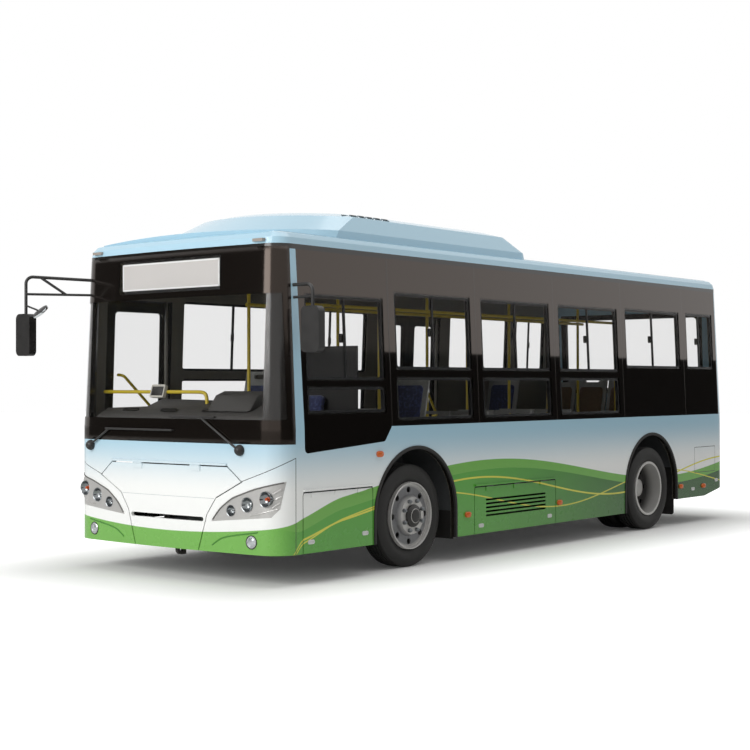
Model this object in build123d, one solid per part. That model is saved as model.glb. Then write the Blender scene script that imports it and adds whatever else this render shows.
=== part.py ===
from build123d import *
from math import atan2, cos, degrees, radians, sin, sqrt, tan
import os

# A low-floor city bus in millimetres: X forward, Y to the bus's left, Z up from the road.
# While modelling, X is measured from the front axle; SHIFT then moves the origin to the middle.

# Overall form
WIDTH = 2500
WHEELBASE = 4300
FRONT_OVERHANG = 1834
REAR_OVERHANG = 1870
UNDERSIDE_Z = 200
BELT_Z = 1255
BAND_TOP_Z = 2754
ROOF_RISE = 146
ROOF_TOP_Z = BAND_TOP_Z + ROOF_RISE
SIDE_LEAN_DEG = 2.55
FRONT_BOW = 67
REAR_BOW = 40
FRONT_CORNER = 230
REAR_CORNER = 190
CROWN_RADIUS = 15000
COVE = 105
COVE_FLATS = 3

# Thicknesses and clearances
WALL = 55
GLASS = 8
SEAT_GAP = 0.3
HATCH_THICK = 30
HATCH_GAP = 8
LEAF_THICK = 40
LEAF_GAP = 12

# Hinges stand just outside the skin, under drip rails
HINGE_R = 6
HINGE_LENGTH = 110
HINGE_OUT = HINGE_R + SEAT_GAP
BOWED_HINGE_OUT = HINGE_OUT + 2
STRAP_H = 40
DRIP_H = 18
DRIP_OUT = 16

# The mirrors and the rear drip rail set the overall box
MIRROR_AHEAD = 396
MIRROR_OUT = 250
MIRROR_REACH = FRONT_OVERHANG + MIRROR_AHEAD
MIRROR_SPAN = WIDTH + 2 * MIRROR_OUT
SHIFT = (WHEELBASE + REAR_OVERHANG + DRIP_OUT - MIRROR_REACH) / 2

# Panel seams
NOSE_DEPTH = 247
TAIL_DEPTH = 190
A_SEAM_X = FRONT_OVERHANG - NOSE_DEPTH
REAR_SEAM_X = TAIL_DEPTH - WHEELBASE - REAR_OVERHANG

# Skirts
FRONT_SKIRT_Z = 256
MID_SKIRT_Z = 222
REAR_SKIRT_Z = 300
TAIL_SKIRT_Z = 395
TAIL_RISE_X = 1280

# Wheels
TYRE_R = 457
TYRE_WIDTH = 245
RIM_R = 286
FLANGE_R = 298
RIM_WIDTH = 216
RIM_WALL = 14
DISC_OFFSET = 137
DISC_THICK = 12
HUB_R = 95
HAND_HOLES = 8
HAND_HOLE_R = 27
HAND_HOLE_PCR = 229
FRONT_HALF_TRACK = 1062
REAR_OUTER_Y = 1100
DUAL_SPACING = 2 * DISC_OFFSET + 1
KINGPIN_Y = 885
KINGPIN_R = 32
STUB_R = 30
DRUM_R = 205
ARCH_R = 580
ARCH_Z = 475

# Floors
FLOOR_Z = 360
FLOOR_THICK = 60
REAR_FLOOR_Z = 720
PLATFORM_Z = 560
BOX_WALL = 20
BOX_TOP_Z = 1110
BOX_HALF = 640
FRONT_BOX_Y = 580
REAR_BOX_Y = 650

# Doors on the right side
SILL_Z = FLOOR_Z
DOOR_TOP_Z = 2400
FRONT_DOOR_WIDTH = 800
FRONT_DOOR_SET = 107
MID_DOOR_WIDTH = 1160
MID_DOOR_AHEAD = 1280
HINGE_IN = 60
HINGE_Y = WIDTH / 2 - 85

# Window band
BAND_REAR_SET = 204
FRONT_PILLAR_X = 347
FIRST_BAY = 1314
MID_PILLAR_SET = 106.5
REAR_PILLAR_AHEAD = 600
REAR_PILLAR_BEHIND = 823
PILLAR_GAP = 6
STRIP_H = 42
SASH_SIDE = 95
SASH_CORNER = 40
LOWER_PANE = (1310, 1675)
UPPER_PANE = (1755, 2415)
REAR_PANE = (1800, 2430)

REAR_AXLE_X = -WHEELBASE
TAIL_X = -WHEELBASE - REAR_OVERHANG
LEAN = tan(radians(SIDE_LEAN_DEG))


def lean_in(z):
    """How far every side has leaned in at height z: upright to the belt."""
    return max(0, z - BELT_Z) * LEAN


def half_width(z):
    """Half the body's width."""
    return WIDTH / 2 - lean_in(z)


def bow_depth(y, z, bow):
    """How far an end that is bowed across the bus falls back at Y."""
    radius = ((WIDTH / 2) ** 2 + bow**2) / (2 * bow) - lean_in(z)
    return radius - sqrt(radius**2 - y**2)


def nose_x(y, z):
    """The front surface's X."""
    return FRONT_OVERHANG - lean_in(z) - bow_depth(y, z, FRONT_BOW)


def tail_x(y, z):
    """The rear surface's X."""
    return TAIL_X + lean_in(z) + bow_depth(y, z, REAR_BOW)


def plan_face(inset):
    """The body's outline in plan below the belt, drawn in by inset."""
    half = WIDTH / 2 - inset
    nose = FRONT_OVERHANG - inset
    tail = TAIL_X + inset
    front = nose - FRONT_BOW
    back = tail + REAR_BOW
    edges = [
        Line((back, -half), (front, -half)),
        ThreePointArc((front, -half), (nose, 0), (front, half)),
        Line((front, half), (back, half)),
        ThreePointArc((back, half), (tail, 0), (back, -half)),
    ]
    face = make_face(edges)
    face = fillet(face.vertices().sort_by(Axis.X)[-2:], FRONT_CORNER - inset)
    return fillet(face.vertices().sort_by(Axis.X)[:2], REAR_CORNER - inset)


def upper_body(inset):
    """The leaning body from the belt to the roof seam, drawn in by inset."""
    return extrude(Pos(0, 0, BELT_Z) * plan_face(inset), amount=BAND_TOP_Z - BELT_Z, taper=SIDE_LEAN_DEG)


def body(inset):
    """The whole body up to the roof seam, drawn in by inset."""
    lower = extrude(Pos(0, 0, UNDERSIDE_Z) * plan_face(inset), amount=BELT_Z - UNDERSIDE_Z)
    return lower + upper_body(inset)


def block(x, y, z):
    """A box from three (low, high) pairs."""
    sizes = [high - low for low, high in (x, y, z)]
    centre = [(high + low) / 2 for low, high in (x, y, z)]
    return Pos(*centre) * Box(*sizes)


def side_prism(face, y_low, y_high):
    """A face drawn in X and Z, extruded across the bus."""
    return Pos(0, y_high, 0) * extrude(Plane.XZ * face, amount=y_high - y_low)


def front_prism(face, x_low, x_high):
    """A face drawn in Y and Z, extruded along the bus."""
    return Pos(x_low, 0, 0) * extrude(Plane.YZ * face, amount=x_high - x_low)


def pane_face(x, z, corner):
    """A rounded rectangle from two (low, high) pairs."""
    return Pos((x[0] + x[1]) / 2, (z[0] + z[1]) / 2) * RectangleRounded(x[1] - x[0], z[1] - z[0], corner)


def rod(start, end, radius):
    """A round bar between two points."""
    axis = Vector(*end) - Vector(*start)
    return extrude(Plane(start, z_dir=axis) * Circle(radius), amount=axis.length)


def bent_tube(points, bend, radius):
    """A round tube along straight runs with rounded corners."""
    path = FilletPolyline(*points, radius=bend)
    return sweep(Plane(path @ 0, z_dir=path % 0) * Circle(radius), path=path)


def both_sides(solid):
    """A solid and its mirror image on the other side of the bus."""
    return [solid, mirror(solid, about=Plane.XZ)]


os.makedirs("parts", exist_ok=True)


def keep(name, *solids):
    """Write one piece, of one or more solids, from the bus's own origin."""
    placed = [Pos(SHIFT, 0, 0) * solid for shape in solids for solid in shape.solids()]
    shape = placed[0] if len(placed) == 1 else Compound(children=placed)
    export_step(shape, f"parts/{name}.step")


# Body shell, split later where the panels meet
outer = body(0)
glazing_bed = body(GLASS + SEAT_GAP)
cabin = body(WALL)
leaf_back = body(LEAF_THICK)
hatch_back = body(HATCH_THICK)
skin = outer - body(GLASS)
skirt_line = Polyline(
    (FRONT_OVERHANG + WALL, 0),
    (FRONT_OVERHANG + WALL, FRONT_SKIRT_Z),
    (0, FRONT_SKIRT_Z),
    (0, MID_SKIRT_Z),
    (REAR_AXLE_X, MID_SKIRT_Z),
    (REAR_AXLE_X, REAR_SKIRT_Z),
    (REAR_AXLE_X - TAIL_RISE_X, REAR_SKIRT_Z),
    (TAIL_X + WALL, TAIL_SKIRT_Z),
    (TAIL_X - WALL, TAIL_SKIRT_Z),
    (TAIL_X - WALL, 0),
    close=True,
)
underside = side_prism(make_face(skirt_line), -WIDTH, WIDTH)
shell = outer - cabin - underside
for axle_x in (0, REAR_AXLE_X):
    arch = Pos(axle_x, ARCH_Z) * Circle(ARCH_R) + Pos(axle_x, ARCH_Z / 2) * Rectangle(2 * ARCH_R, ARCH_Z)
    shell -= side_prism(arch, -WIDTH, WIDTH)

# Window panes: each bonded flush over the wall, which is open behind its glass
front_door_x = (A_SEAM_X - FRONT_DOOR_SET - FRONT_DOOR_WIDTH, A_SEAM_X - FRONT_DOOR_SET)
mid_door_middle = REAR_AXLE_X + MID_DOOR_AHEAD
mid_door_x = (mid_door_middle - MID_DOOR_WIDTH / 2, mid_door_middle + MID_DOOR_WIDTH / 2)
pillars = [FRONT_PILLAR_X, FRONT_PILLAR_X - FIRST_BAY]
pillars += [mid_door_x[1] + MID_PILLAR_SET, REAR_AXLE_X + REAR_PILLAR_AHEAD]
pillars += [REAR_AXLE_X - REAR_PILLAR_BEHIND, TAIL_X + BAND_REAR_SET]
band_top = BAND_TOP_Z - STRIP_H
TWO_PANES = (LOWER_PANE, UPPER_PANE)
ONE_PANE = (REAR_PANE,)
LEFT_BAYS = (
    # front pillar, rear pillar, heights of the openings
    (pillars[0], pillars[1], TWO_PANES),
    (pillars[1], pillars[2], TWO_PANES),
    (pillars[2], pillars[3], TWO_PANES),
    (pillars[3], pillars[4], ONE_PANE),
    (pillars[4], pillars[5], ONE_PANE),
)
RIGHT_BAYS = (
    # front pillar, rear pillar, heights of the openings
    (front_door_x[0] - WALL, pillars[1], TWO_PANES),
    (pillars[1], pillars[2], TWO_PANES),
    (pillars[3], pillars[4], ONE_PANE),
    (pillars[4], pillars[5], ONE_PANE),
)


def glaze(bays, y):
    """The panes of a row of bays, and the holes that they cover."""
    panes = []
    holes = []
    for front, rear, heights in bays:
        edge = (rear + PILLAR_GAP / 2, front - PILLAR_GAP / 2)
        panes.append(side_prism(pane_face(edge, (BELT_Z + PILLAR_GAP / 2, band_top), PILLAR_GAP), *y))
        opening = (rear + SASH_SIDE, front - SASH_SIDE)
        holes += [side_prism(pane_face(opening, z, SASH_CORNER), *y) for z in heights]
    return panes, holes


LEFT = (0, WIDTH)
RIGHT = (-WIDTH, 0)
left_panes, left_holes = glaze(LEFT_BAYS, LEFT)
right_panes, right_holes = glaze(RIGHT_BAYS, RIGHT)

# The driver's window dips below the belt and has its own two panes
DRIVER_DIP_Z = 1060
DRIVER_SILL_Z = 1129
DRIVER_FRONT_SET = 87
DRIVER_RAKE = 40
DRIVER_UPPER = (1660, 2350)
DRIVER_LOWER = (1385, 1595)
DRIVER_SIDE = 75
driver_front = A_SEAM_X - DRIVER_FRONT_SET
driver_rear = FRONT_PILLAR_X + PILLAR_GAP
driver_outline = Polyline(
    (driver_rear, band_top),
    (driver_rear, BELT_Z),
    (driver_rear + SASH_SIDE, DRIVER_SILL_Z),
    (driver_front - DRIVER_RAKE / 2, DRIVER_DIP_Z),
    (driver_front + DRIVER_RAKE / 2, band_top),
    close=True,
)
driver_face = make_face(driver_outline)
driver_face = fillet(driver_face.vertices().sort_by(Axis.Y)[:3], SASH_CORNER)
left_panes.append(side_prism(driver_face, *LEFT))
driver_opening = (driver_rear + DRIVER_SIDE, driver_front - DRIVER_SIDE)
for heights in (DRIVER_LOWER, DRIVER_UPPER):
    left_holes.append(side_prism(pane_face(driver_opening, heights, SASH_CORNER), *LEFT))

# Hatches in the left skirt, hung from their top edges
HATCH_CORNER = 25
FRONT_HATCH_WIDTH = 880
FRONT_HATCH_TOP_Z = 745
MID_HATCH_FRONT_X = -886
MID_HATCH_WIDTH = 1404
MID_HATCH_TOP_Z = 657
LOUVRES = 5
LOUVRE_H = 18
LOUVRE_PITCH = 37
LOUVRE_LENGTH = 1040
LOUVRE_LOW_Z = 385
front_hatch_x = (driver_front - FRONT_HATCH_WIDTH, driver_front)
mid_hatch_x = (MID_HATCH_FRONT_X - MID_HATCH_WIDTH, MID_HATCH_FRONT_X)
front_hatch_z = (FRONT_SKIRT_Z, FRONT_HATCH_TOP_Z)
mid_hatch_z = (MID_SKIRT_Z, MID_HATCH_TOP_Z)


def hatch(x, z, grow):
    """A hatch's outline through the left skirt, open at the skirt's edge."""
    wide = (x[0] - grow, x[1] + grow)
    return side_prism(pane_face(wide, (z[0] - 2 * HATCH_CORNER, z[1] + grow), HATCH_CORNER + grow), *LEFT)


hatch_shell = outer - hatch_back - underside
front_hatch = hatch_shell & hatch(front_hatch_x, front_hatch_z, 0)
mid_hatch = hatch_shell & hatch(mid_hatch_x, mid_hatch_z, 0)
louvre_middle = sum(mid_hatch_x) / 2
for step in range(LOUVRES):
    louvre_z = LOUVRE_LOW_Z + step * LOUVRE_PITCH
    slot = Pos(louvre_middle, louvre_z) * SlotOverall(LOUVRE_LENGTH, LOUVRE_H)
    mid_hatch -= side_prism(slot, *LEFT)
SIDE_HINGES = 3


def side_hinges(x, top_z):
    """Barrels and straps along a left hatch's top edge."""
    pitch = (x[1] - x[0]) / SIDE_HINGES
    axis_y = WIDTH / 2 + HINGE_OUT
    axis_z = top_z + HATCH_GAP / 2
    solids = []
    for step in range(SIDE_HINGES):
        start = x[0] + (step + 0.5) * pitch - HINGE_LENGTH / 2
        span = (start, start + HINGE_LENGTH)
        solids.append(rod((span[0], axis_y, axis_z), (span[1], axis_y, axis_z), HINGE_R))
        solids.append(block(span, (WIDTH / 2, axis_y), (top_z - STRAP_H, axis_z)))
    return solids


def drip_z(axis_z):
    """The height band of the drip rail over a hinge axis."""
    return (axis_z + HINGE_R + SEAT_GAP, axis_z + HINGE_R + SEAT_GAP + DRIP_H)


def side_drip(x, top_z):
    """The drip rail over a left hatch."""
    return block(x, (WIDTH / 2, WIDTH / 2 + DRIP_OUT), drip_z(top_z + HATCH_GAP / 2))


keep("hatch_front_left", front_hatch + side_hinges(front_hatch_x, FRONT_HATCH_TOP_Z))
keep("hatch_mid_left", mid_hatch + side_hinges(mid_hatch_x, MID_HATCH_TOP_Z))

# Side walls
wall_span = (REAR_SEAM_X, A_SEAM_X)
wall_height = (0, BAND_TOP_Z)
left_wall = shell & block(wall_span, LEFT, wall_height)
left_glass = []
for pane in left_panes:
    left_wall -= pane & (outer - glazing_bed)
    left_glass += (pane & skin).solids()
for cut in left_holes:
    left_wall -= cut
left_wall -= hatch(front_hatch_x, front_hatch_z, HATCH_GAP)
left_wall -= hatch(mid_hatch_x, mid_hatch_z, HATCH_GAP)
left_wall += side_drip(front_hatch_x, FRONT_HATCH_TOP_Z)
left_wall += side_drip(mid_hatch_x, MID_HATCH_TOP_Z)
keep("left_wall", left_wall)
keep("left_windows", *left_glass)

right_wall = shell & block(wall_span, RIGHT, wall_height)
right_glass = []
for pane in right_panes:
    right_wall -= pane & (outer - glazing_bed)
    right_glass += (pane & skin).solids()
for cut in right_holes:
    right_wall -= cut
for door_x in (front_door_x, mid_door_x):
    right_wall -= block(door_x, RIGHT, (SILL_Z, DOOR_TOP_Z))
keep("right_wall", right_wall)
keep("right_windows", *right_glass)

# Doors: leaves that turn inwards on upright posts near their edges, each with one tall pane
DOOR_GLASS_Z = (560, 2290)
LEAF_STILE = 95
DOOR_GLASS_IN = 12
DOOR_GLASS_THICK = 6
POST_R = 18
POST_ARM_H = 40
POST_ARMS_Z = (460, 1150)
LEAVES = (
    # name, low X, high X, whether its post is at the low end
    ("door_front", front_door_x[0] + LEAF_GAP, front_door_x[1] - LEAF_GAP, True),
    ("door_mid_rear", mid_door_x[0] + LEAF_GAP, mid_door_middle - LEAF_GAP / 2, True),
    ("door_mid_front", mid_door_middle + LEAF_GAP / 2, mid_door_x[1] - LEAF_GAP, False),
)
leaf_shell = outer - leaf_back
door_glass = body(DOOR_GLASS_IN) - body(DOOR_GLASS_IN + DOOR_GLASS_THICK)
for name, low, high, post_low in LEAVES:
    panel = leaf_shell & block((low, high), RIGHT, (SILL_Z + LEAF_GAP, DOOR_TOP_Z - LEAF_GAP))
    light = (low + LEAF_STILE, high - LEAF_STILE)
    panel -= side_prism(pane_face(light, DOOR_GLASS_Z, SASH_CORNER), *RIGHT)
    pane_x = (light[0] + SEAT_GAP, light[1] - SEAT_GAP)
    pane_z = (DOOR_GLASS_Z[0] + SEAT_GAP, DOOR_GLASS_Z[1] - SEAT_GAP)
    pane = door_glass & side_prism(pane_face(pane_x, pane_z, SASH_CORNER), *RIGHT)
    post_x = low + HINGE_IN if post_low else high - HINGE_IN
    panel += rod((post_x, -HINGE_Y, FLOOR_Z + SEAT_GAP), (post_x, -HINGE_Y, DOOR_TOP_Z - SEAT_GAP), POST_R)
    for arm_z in POST_ARMS_Z:
        arm_y = (LEAF_THICK / 2 - WIDTH / 2, -HINGE_Y)
        panel += block((post_x - POST_R / 2, post_x + POST_R / 2), arm_y, (arm_z, arm_z + POST_ARM_H))
    keep(name, panel)
    keep(name + "_glass", pane)

# Front: one moulded mask with the windscreen frame above it
SCREEN_LOW_Z = 1140
SCREEN_TOP_Z = 2730
SCREEN_EDGE = 70
SCREEN_FRAME_TOP = 2680
FLAP_GAP = 10
FLAP_SKIN = 12
FLAP_TOP_Z = 950
SLOT_H = 36
SLOT_Z = 515
SLOT_HALF = 440
FLAP_OUTLINE = (
    # half width, height
    (700, FLAP_TOP_Z),
    (846, 836),
    (575, 700),
    (475, 560),
    (370, FRONT_SKIRT_Z - HATCH_CORNER),
)
LAMP_OUTLINE = (
    # half width, height
    (1222, 845),
    (1192, 627),
    (1138, 560),
    (530, 505),
    (606, 604),
    (756, 709),
    (980, 785),
)
LAMP_UNITS = (
    # half width, height, radius
    (740, 600, 42),
    (909, 654, 55),
    (1095, 705, 58),
)
LAMP_DEPTH = 50
LAMP_BOWL = 45
FOG_Y = 956
FOG_Z = 356
FOG_R = 42
NOSE_BACK = A_SEAM_X - NOSE_DEPTH
NOSE_FRONT = FRONT_OVERHANG + WALL


def half_outline(points, mirrored):
    """A face in Y and Z from its left points, closed across the middle if mirrored."""
    left = [(y, z) for y, z in points]
    right = [(-y, z) for y, z in reversed(points)] if mirrored else []
    return make_face(Polyline(*left, *right, close=True))


flap_face = half_outline(FLAP_OUTLINE, True)
lamp_face = half_outline(LAMP_OUTLINE, False)
lamp_hole = front_prism(offset(lamp_face, SEAT_GAP), A_SEAM_X, NOSE_FRONT)
fascia = shell & block((A_SEAM_X, NOSE_FRONT), (-WIDTH, WIDTH), wall_height)
fascia -= front_prism(offset(flap_face, FLAP_GAP, kind=Kind.INTERSECTION), NOSE_BACK, NOSE_FRONT)
for recess in both_sides(lamp_hole):
    fascia -= recess
for side in (-1, 1):
    fog_axis = Pos(0, side * FOG_Y, FOG_Z) * Rot(0, 90, 0)
    fascia -= fog_axis * Cylinder(FOG_R + SEAT_GAP, 3 * FRONT_OVERHANG)
screen_box = block((A_SEAM_X, NOSE_FRONT), (-WIDTH, WIDTH), (SCREEN_LOW_Z, SCREEN_TOP_Z))
fascia -= screen_box & (outer - glazing_bed)
screen_half = half_width(BAND_TOP_Z) - WALL - SCREEN_EDGE
screen_face = pane_face((-screen_half, screen_half), (SCREEN_LOW_Z + SCREEN_EDGE, SCREEN_FRAME_TOP), SCREEN_EDGE)
fascia -= front_prism(screen_face, NOSE_BACK, NOSE_FRONT)
END_HINGE_SHARE = 0.5
drip_skin = body(-DRIP_OUT) - outer
flap_axis_z = FLAP_TOP_Z + FLAP_GAP / 2
ridge_half = FLAP_OUTLINE[0][0]
fascia += drip_skin & block((A_SEAM_X, NOSE_FRONT), (-ridge_half, ridge_half), drip_z(flap_axis_z))
keep("front_fascia", fascia)
keep("windscreen", skin & screen_box)
flap = (outer - body(FLAP_SKIN) - underside) & front_prism(flap_face, A_SEAM_X, NOSE_FRONT)
flap += hatch_shell & front_prism(offset(flap_face, -FLAP_GAP), A_SEAM_X, NOSE_FRONT)
flap -= front_prism(Pos(0, SLOT_Z) * SlotOverall(2 * SLOT_HALF, SLOT_H), NOSE_BACK, NOSE_FRONT)


def end_hinge(axis_x, y, top_z, axis_z, skin_in):
    """A barrel and strap across the bus, its strap rooted skin_in behind the axis."""
    span = (y - HINGE_LENGTH / 2, y + HINGE_LENGTH / 2)
    barrel = rod((axis_x, span[0], axis_z), (axis_x, span[1], axis_z), HINGE_R)
    strap_x = sorted((axis_x, axis_x - skin_in))
    return barrel + block(strap_x, span, (top_z - STRAP_H, axis_z))


flap_hinge_y = ridge_half * END_HINGE_SHARE
flap_axis_x = nose_x(flap_hinge_y, FLAP_TOP_Z) + BOWED_HINGE_OUT
strap_root = BOWED_HINGE_OUT + HATCH_THICK / 2
flap += both_sides(end_hinge(flap_axis_x, flap_hinge_y, FLAP_TOP_Z, flap_axis_z, strap_root))
keep("front_flap", flap)

lamp_shell = outer - body(LAMP_DEPTH)
headlamp = lamp_shell & front_prism(lamp_face, A_SEAM_X + SEAT_GAP, NOSE_FRONT)
for y, z, radius in LAMP_UNITS:
    bowl_back = nose_x(y, z) - LAMP_BOWL
    bowl = Pos(bowl_back, y, z) * Rot(0, 90, 0) * Cylinder(radius, FRONT_OVERHANG, align=(Align.CENTER, Align.CENTER, Align.MIN))
    headlamp -= bowl
fog = Pos(0, FOG_Y, FOG_Z) * Rot(0, 90, 0) * Cylinder(FOG_R, 3 * FRONT_OVERHANG)
fog_lamp = (outer - cabin) & fog & block((A_SEAM_X, NOSE_FRONT), LEFT, wall_height)
keep("headlamps", *both_sides(headlamp), *both_sides(fog_lamp))

# Rear wall with its window, lid and lamp clusters
REAR_GLASS_HALF = 1000
REAR_GLASS_Z = (1500, 2500)
LID_HALF = 850
LID_Z = (575, 1235)
TAIL_LAMP_Y = (980, 1105)
TAIL_LAMP_Z = (700, 1200)
tail_span = (TAIL_X - WALL, REAR_SEAM_X)


def rear_prism(face):
    """A face in Y and Z run through the rear wall."""
    return front_prism(face, *tail_span)


rear_wall = shell & block(tail_span, (-WIDTH, WIDTH), wall_height)
rear_light = rear_prism(pane_face((-REAR_GLASS_HALF, REAR_GLASS_HALF), REAR_GLASS_Z, SCREEN_EDGE))
rear_wall -= rear_light & (outer - glazing_bed)
inner_half = REAR_GLASS_HALF - SCREEN_EDGE
inner_z = (REAR_GLASS_Z[0] + SCREEN_EDGE, REAR_GLASS_Z[1] - SCREEN_EDGE)
rear_wall -= rear_prism(pane_face((-inner_half, inner_half), inner_z, SCREEN_EDGE))
lid_face = pane_face((-LID_HALF, LID_HALF), LID_Z, HATCH_CORNER)
rear_wall -= rear_prism(offset(lid_face, HATCH_GAP))
tail_lamp_face = pane_face(TAIL_LAMP_Y, TAIL_LAMP_Z, HATCH_CORNER)
for recess in both_sides(rear_prism(offset(tail_lamp_face, SEAT_GAP))):
    rear_wall -= recess
lid_axis_z = LID_Z[1] + HATCH_GAP / 2
drip_x = (TAIL_X - WALL, REAR_SEAM_X - REAR_CORNER / 2)
rear_wall += drip_skin & block(drip_x, (-LID_HALF, LID_HALF), drip_z(lid_axis_z))
keep("rear_wall", rear_wall)
keep("rear_window", skin & rear_light)
lid_hinge_y = LID_HALF * END_HINGE_SHARE
lid_axis_x = tail_x(lid_hinge_y, LID_Z[1]) - BOWED_HINGE_OUT
lid = (outer - hatch_back) & rear_prism(lid_face)
lid += both_sides(end_hinge(lid_axis_x, lid_hinge_y, LID_Z[1], lid_axis_z, -strap_root))
keep("rear_lid", lid)
keep("tail_lamps", *both_sides((outer - cabin) & rear_prism(tail_lamp_face)))


# Roof: crowned across the bus, with a cove of narrow flats all round its edge
def crowned(inset, top):
    """The roof's solid above its seam, drawn in by inset."""
    radius = COVE - inset
    face = upper_body(inset).faces().sort_by(Axis.Z)[-1]
    solid = Part()
    for step in range(COVE_FLATS):
        start, end = (radians(90 * edge / COVE_FLATS) for edge in (step, step + 1))
        rise = radius * (sin(end) - sin(start))
        draw_in = radius * (cos(start) - cos(end))
        layer = extrude(face, amount=rise, taper=degrees(atan2(draw_in, rise)))
        solid += layer
        face = layer.faces().sort_by(Axis.Z)[-1]
    solid += extrude(face, amount=COVE)
    crown = Pos(0, 0, top - CROWN_RADIUS) * Rot(0, 90, 0) * Cylinder(CROWN_RADIUS, 4 * WHEELBASE)
    return solid & crown


roof_outer = crowned(0, ROOF_TOP_Z)
roof = roof_outer - crowned(WALL, ROOF_TOP_Z - WALL)
keep("roof", roof)

# Roof pod: a long moulded cover with a swept front
POD_TOP_Z = ROOF_TOP_Z + 230
POD_SIDE_TOP = ROOF_TOP_Z + 37
POD_SHOULDER = ROOF_TOP_Z + 185
POD_HALF = 1000
POD_NOSE = 1460
POD_TAIL = -2230
POD_CORNER = 120
POD_BOW = 620
POD_FOOT_Z = ROOF_TOP_Z - COVE
POD_SECTIONS = (
    # height, half width, nose, tail
    (POD_FOOT_Z, POD_HALF, POD_NOSE, POD_TAIL),
    (POD_SIDE_TOP, POD_HALF - 10, POD_NOSE - 90, POD_TAIL + 40),
    (POD_SHOULDER, POD_HALF - 110, POD_NOSE - 400, POD_TAIL + 250),
    (POD_TOP_Z, POD_HALF - 260, POD_NOSE - 620, POD_TAIL + 380),
)


def pod_face(z, half, nose, tail):
    """The pod's outline in plan at one height."""
    edges = [
        Line((tail, -half), (nose - POD_BOW, -half)),
        ThreePointArc((nose - POD_BOW, -half), (nose, 0), (nose - POD_BOW, half)),
        Line((nose - POD_BOW, half), (tail, half)),
        Line((tail, half), (tail, -half)),
    ]
    face = make_face(edges)
    face = fillet(face.vertices().sort_by(Axis.X)[:2], POD_CORNER)
    return Pos(0, 0, z) * face


pod = loft([pod_face(*row) for row in POD_SECTIONS], ruled=True)
roof_top = Pos(0, 0, ROOF_TOP_Z + SEAT_GAP - CROWN_RADIUS) * Rot(0, 90, 0) * Cylinder(CROWN_RADIUS, 4 * WHEELBASE)
keep("roof_pod", pod - roof_top)

# Floor: panels, low from the front to the step, then raised over the rear axle, with boxes over the wheels
cabin_half = WIDTH / 2 - WALL - SEAT_GAP
step_x = REAR_AXLE_X + BOX_HALF
low = (FLOOR_Z - FLOOR_THICK, FLOOR_Z)
high = (REAR_FLOOR_Z - FLOOR_THICK, REAR_FLOOR_Z)
full = (-cabin_half, cabin_half)
front_boxes = (-BOX_HALF, BOX_HALF)
rear_boxes = (REAR_AXLE_X - BOX_HALF, REAR_AXLE_X + BOX_HALF)


def panel(x, y, z):
    """A flat panel with half a joint's gap left along its upright edges."""
    joint = SEAT_GAP / 2
    return block((x[0] + joint, x[1] - joint), (y[0] + joint, y[1] - joint), z)


FLOOR_PANELS = (
    # X, Y and Z spans
    ((front_boxes[1], A_SEAM_X), full, low),
    (front_boxes, (-FRONT_BOX_Y, FRONT_BOX_Y), low),
    ((step_x + FLOOR_THICK, front_boxes[0]), full, low),
    ((step_x, step_x + FLOOR_THICK), full, (low[0], high[1])),
    (rear_boxes, (-REAR_BOX_Y, REAR_BOX_Y), high),
    ((REAR_SEAM_X, rear_boxes[0]), full, high),
    ((front_boxes[1], A_SEAM_X), (0, cabin_half), (FLOOR_Z + SEAT_GAP, PLATFORM_Z)),
)
lining = body(WALL + SEAT_GAP)
floor = [panel(*spans) & lining for spans in FLOOR_PANELS]
WHEEL_BOXES = (
    # X span, inner wall Y, lower edge
    (front_boxes, FRONT_BOX_Y, low[0]),
    (rear_boxes, REAR_BOX_Y, high[0]),
)
for span, box_y, box_low in WHEEL_BOXES:
    wall_z = (box_low, BOX_TOP_Z - BOX_WALL - SEAT_GAP)
    floor += both_sides(panel(span, (box_y, box_y + BOX_WALL), wall_z))
    for end in (span[0], span[1] - BOX_WALL):
        floor += both_sides(panel((end, end + BOX_WALL), (box_y + BOX_WALL, cabin_half), wall_z))
    floor += both_sides(panel(span, (box_y, cabin_half), (BOX_TOP_Z - BOX_WALL, BOX_TOP_Z)))
keep("floor", *floor)

# Chassis: tubes butted together, two rails kicked up at the rear, cross members, jacking pads and a tow eye
RAIL_Y = 430
RAIL_W = 60
RAIL_H = 60
CROSS_W = 60
TOW_Z = 228
TOW_R = 20
TOW_PLATE = 30
TOW_EYE_R = 46
JACK_PAD = 120
JACK_DROP = 25
JACK_FRONT_X = 700
JACK_REAR_X = REAR_AXLE_X - JACK_FRONT_X
rail_low = (low[0] - RAIL_H, low[0] - SEAT_GAP)
rail_high = (high[0] - RAIL_H, high[0] - SEAT_GAP)
rail_front = A_SEAM_X + WALL
rail_back = REAR_SEAM_X + RAIL_W
rail_y = (RAIL_Y - RAIL_W / 2, RAIL_Y + RAIL_W / 2)
RAILS = (
    # X and Z spans
    ((step_x, rail_front), rail_low),
    ((step_x - RAIL_W, step_x), (rail_low[0], rail_high[1])),
    ((rail_back, step_x - RAIL_W), rail_high),
    ((JACK_FRONT_X - JACK_PAD / 2, JACK_FRONT_X + JACK_PAD / 2), (rail_low[0] - JACK_DROP, rail_low[0] - SEAT_GAP)),
    ((JACK_REAR_X - JACK_PAD / 2, JACK_REAR_X + JACK_PAD / 2), (rail_high[0] - JACK_DROP, rail_high[0] - SEAT_GAP)),
)
frame = []
for x, z in RAILS:
    frame += both_sides(panel(x, rail_y, z))
between = (-rail_y[0], rail_y[0])
outboard = (rail_y[1], cabin_half)
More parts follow.
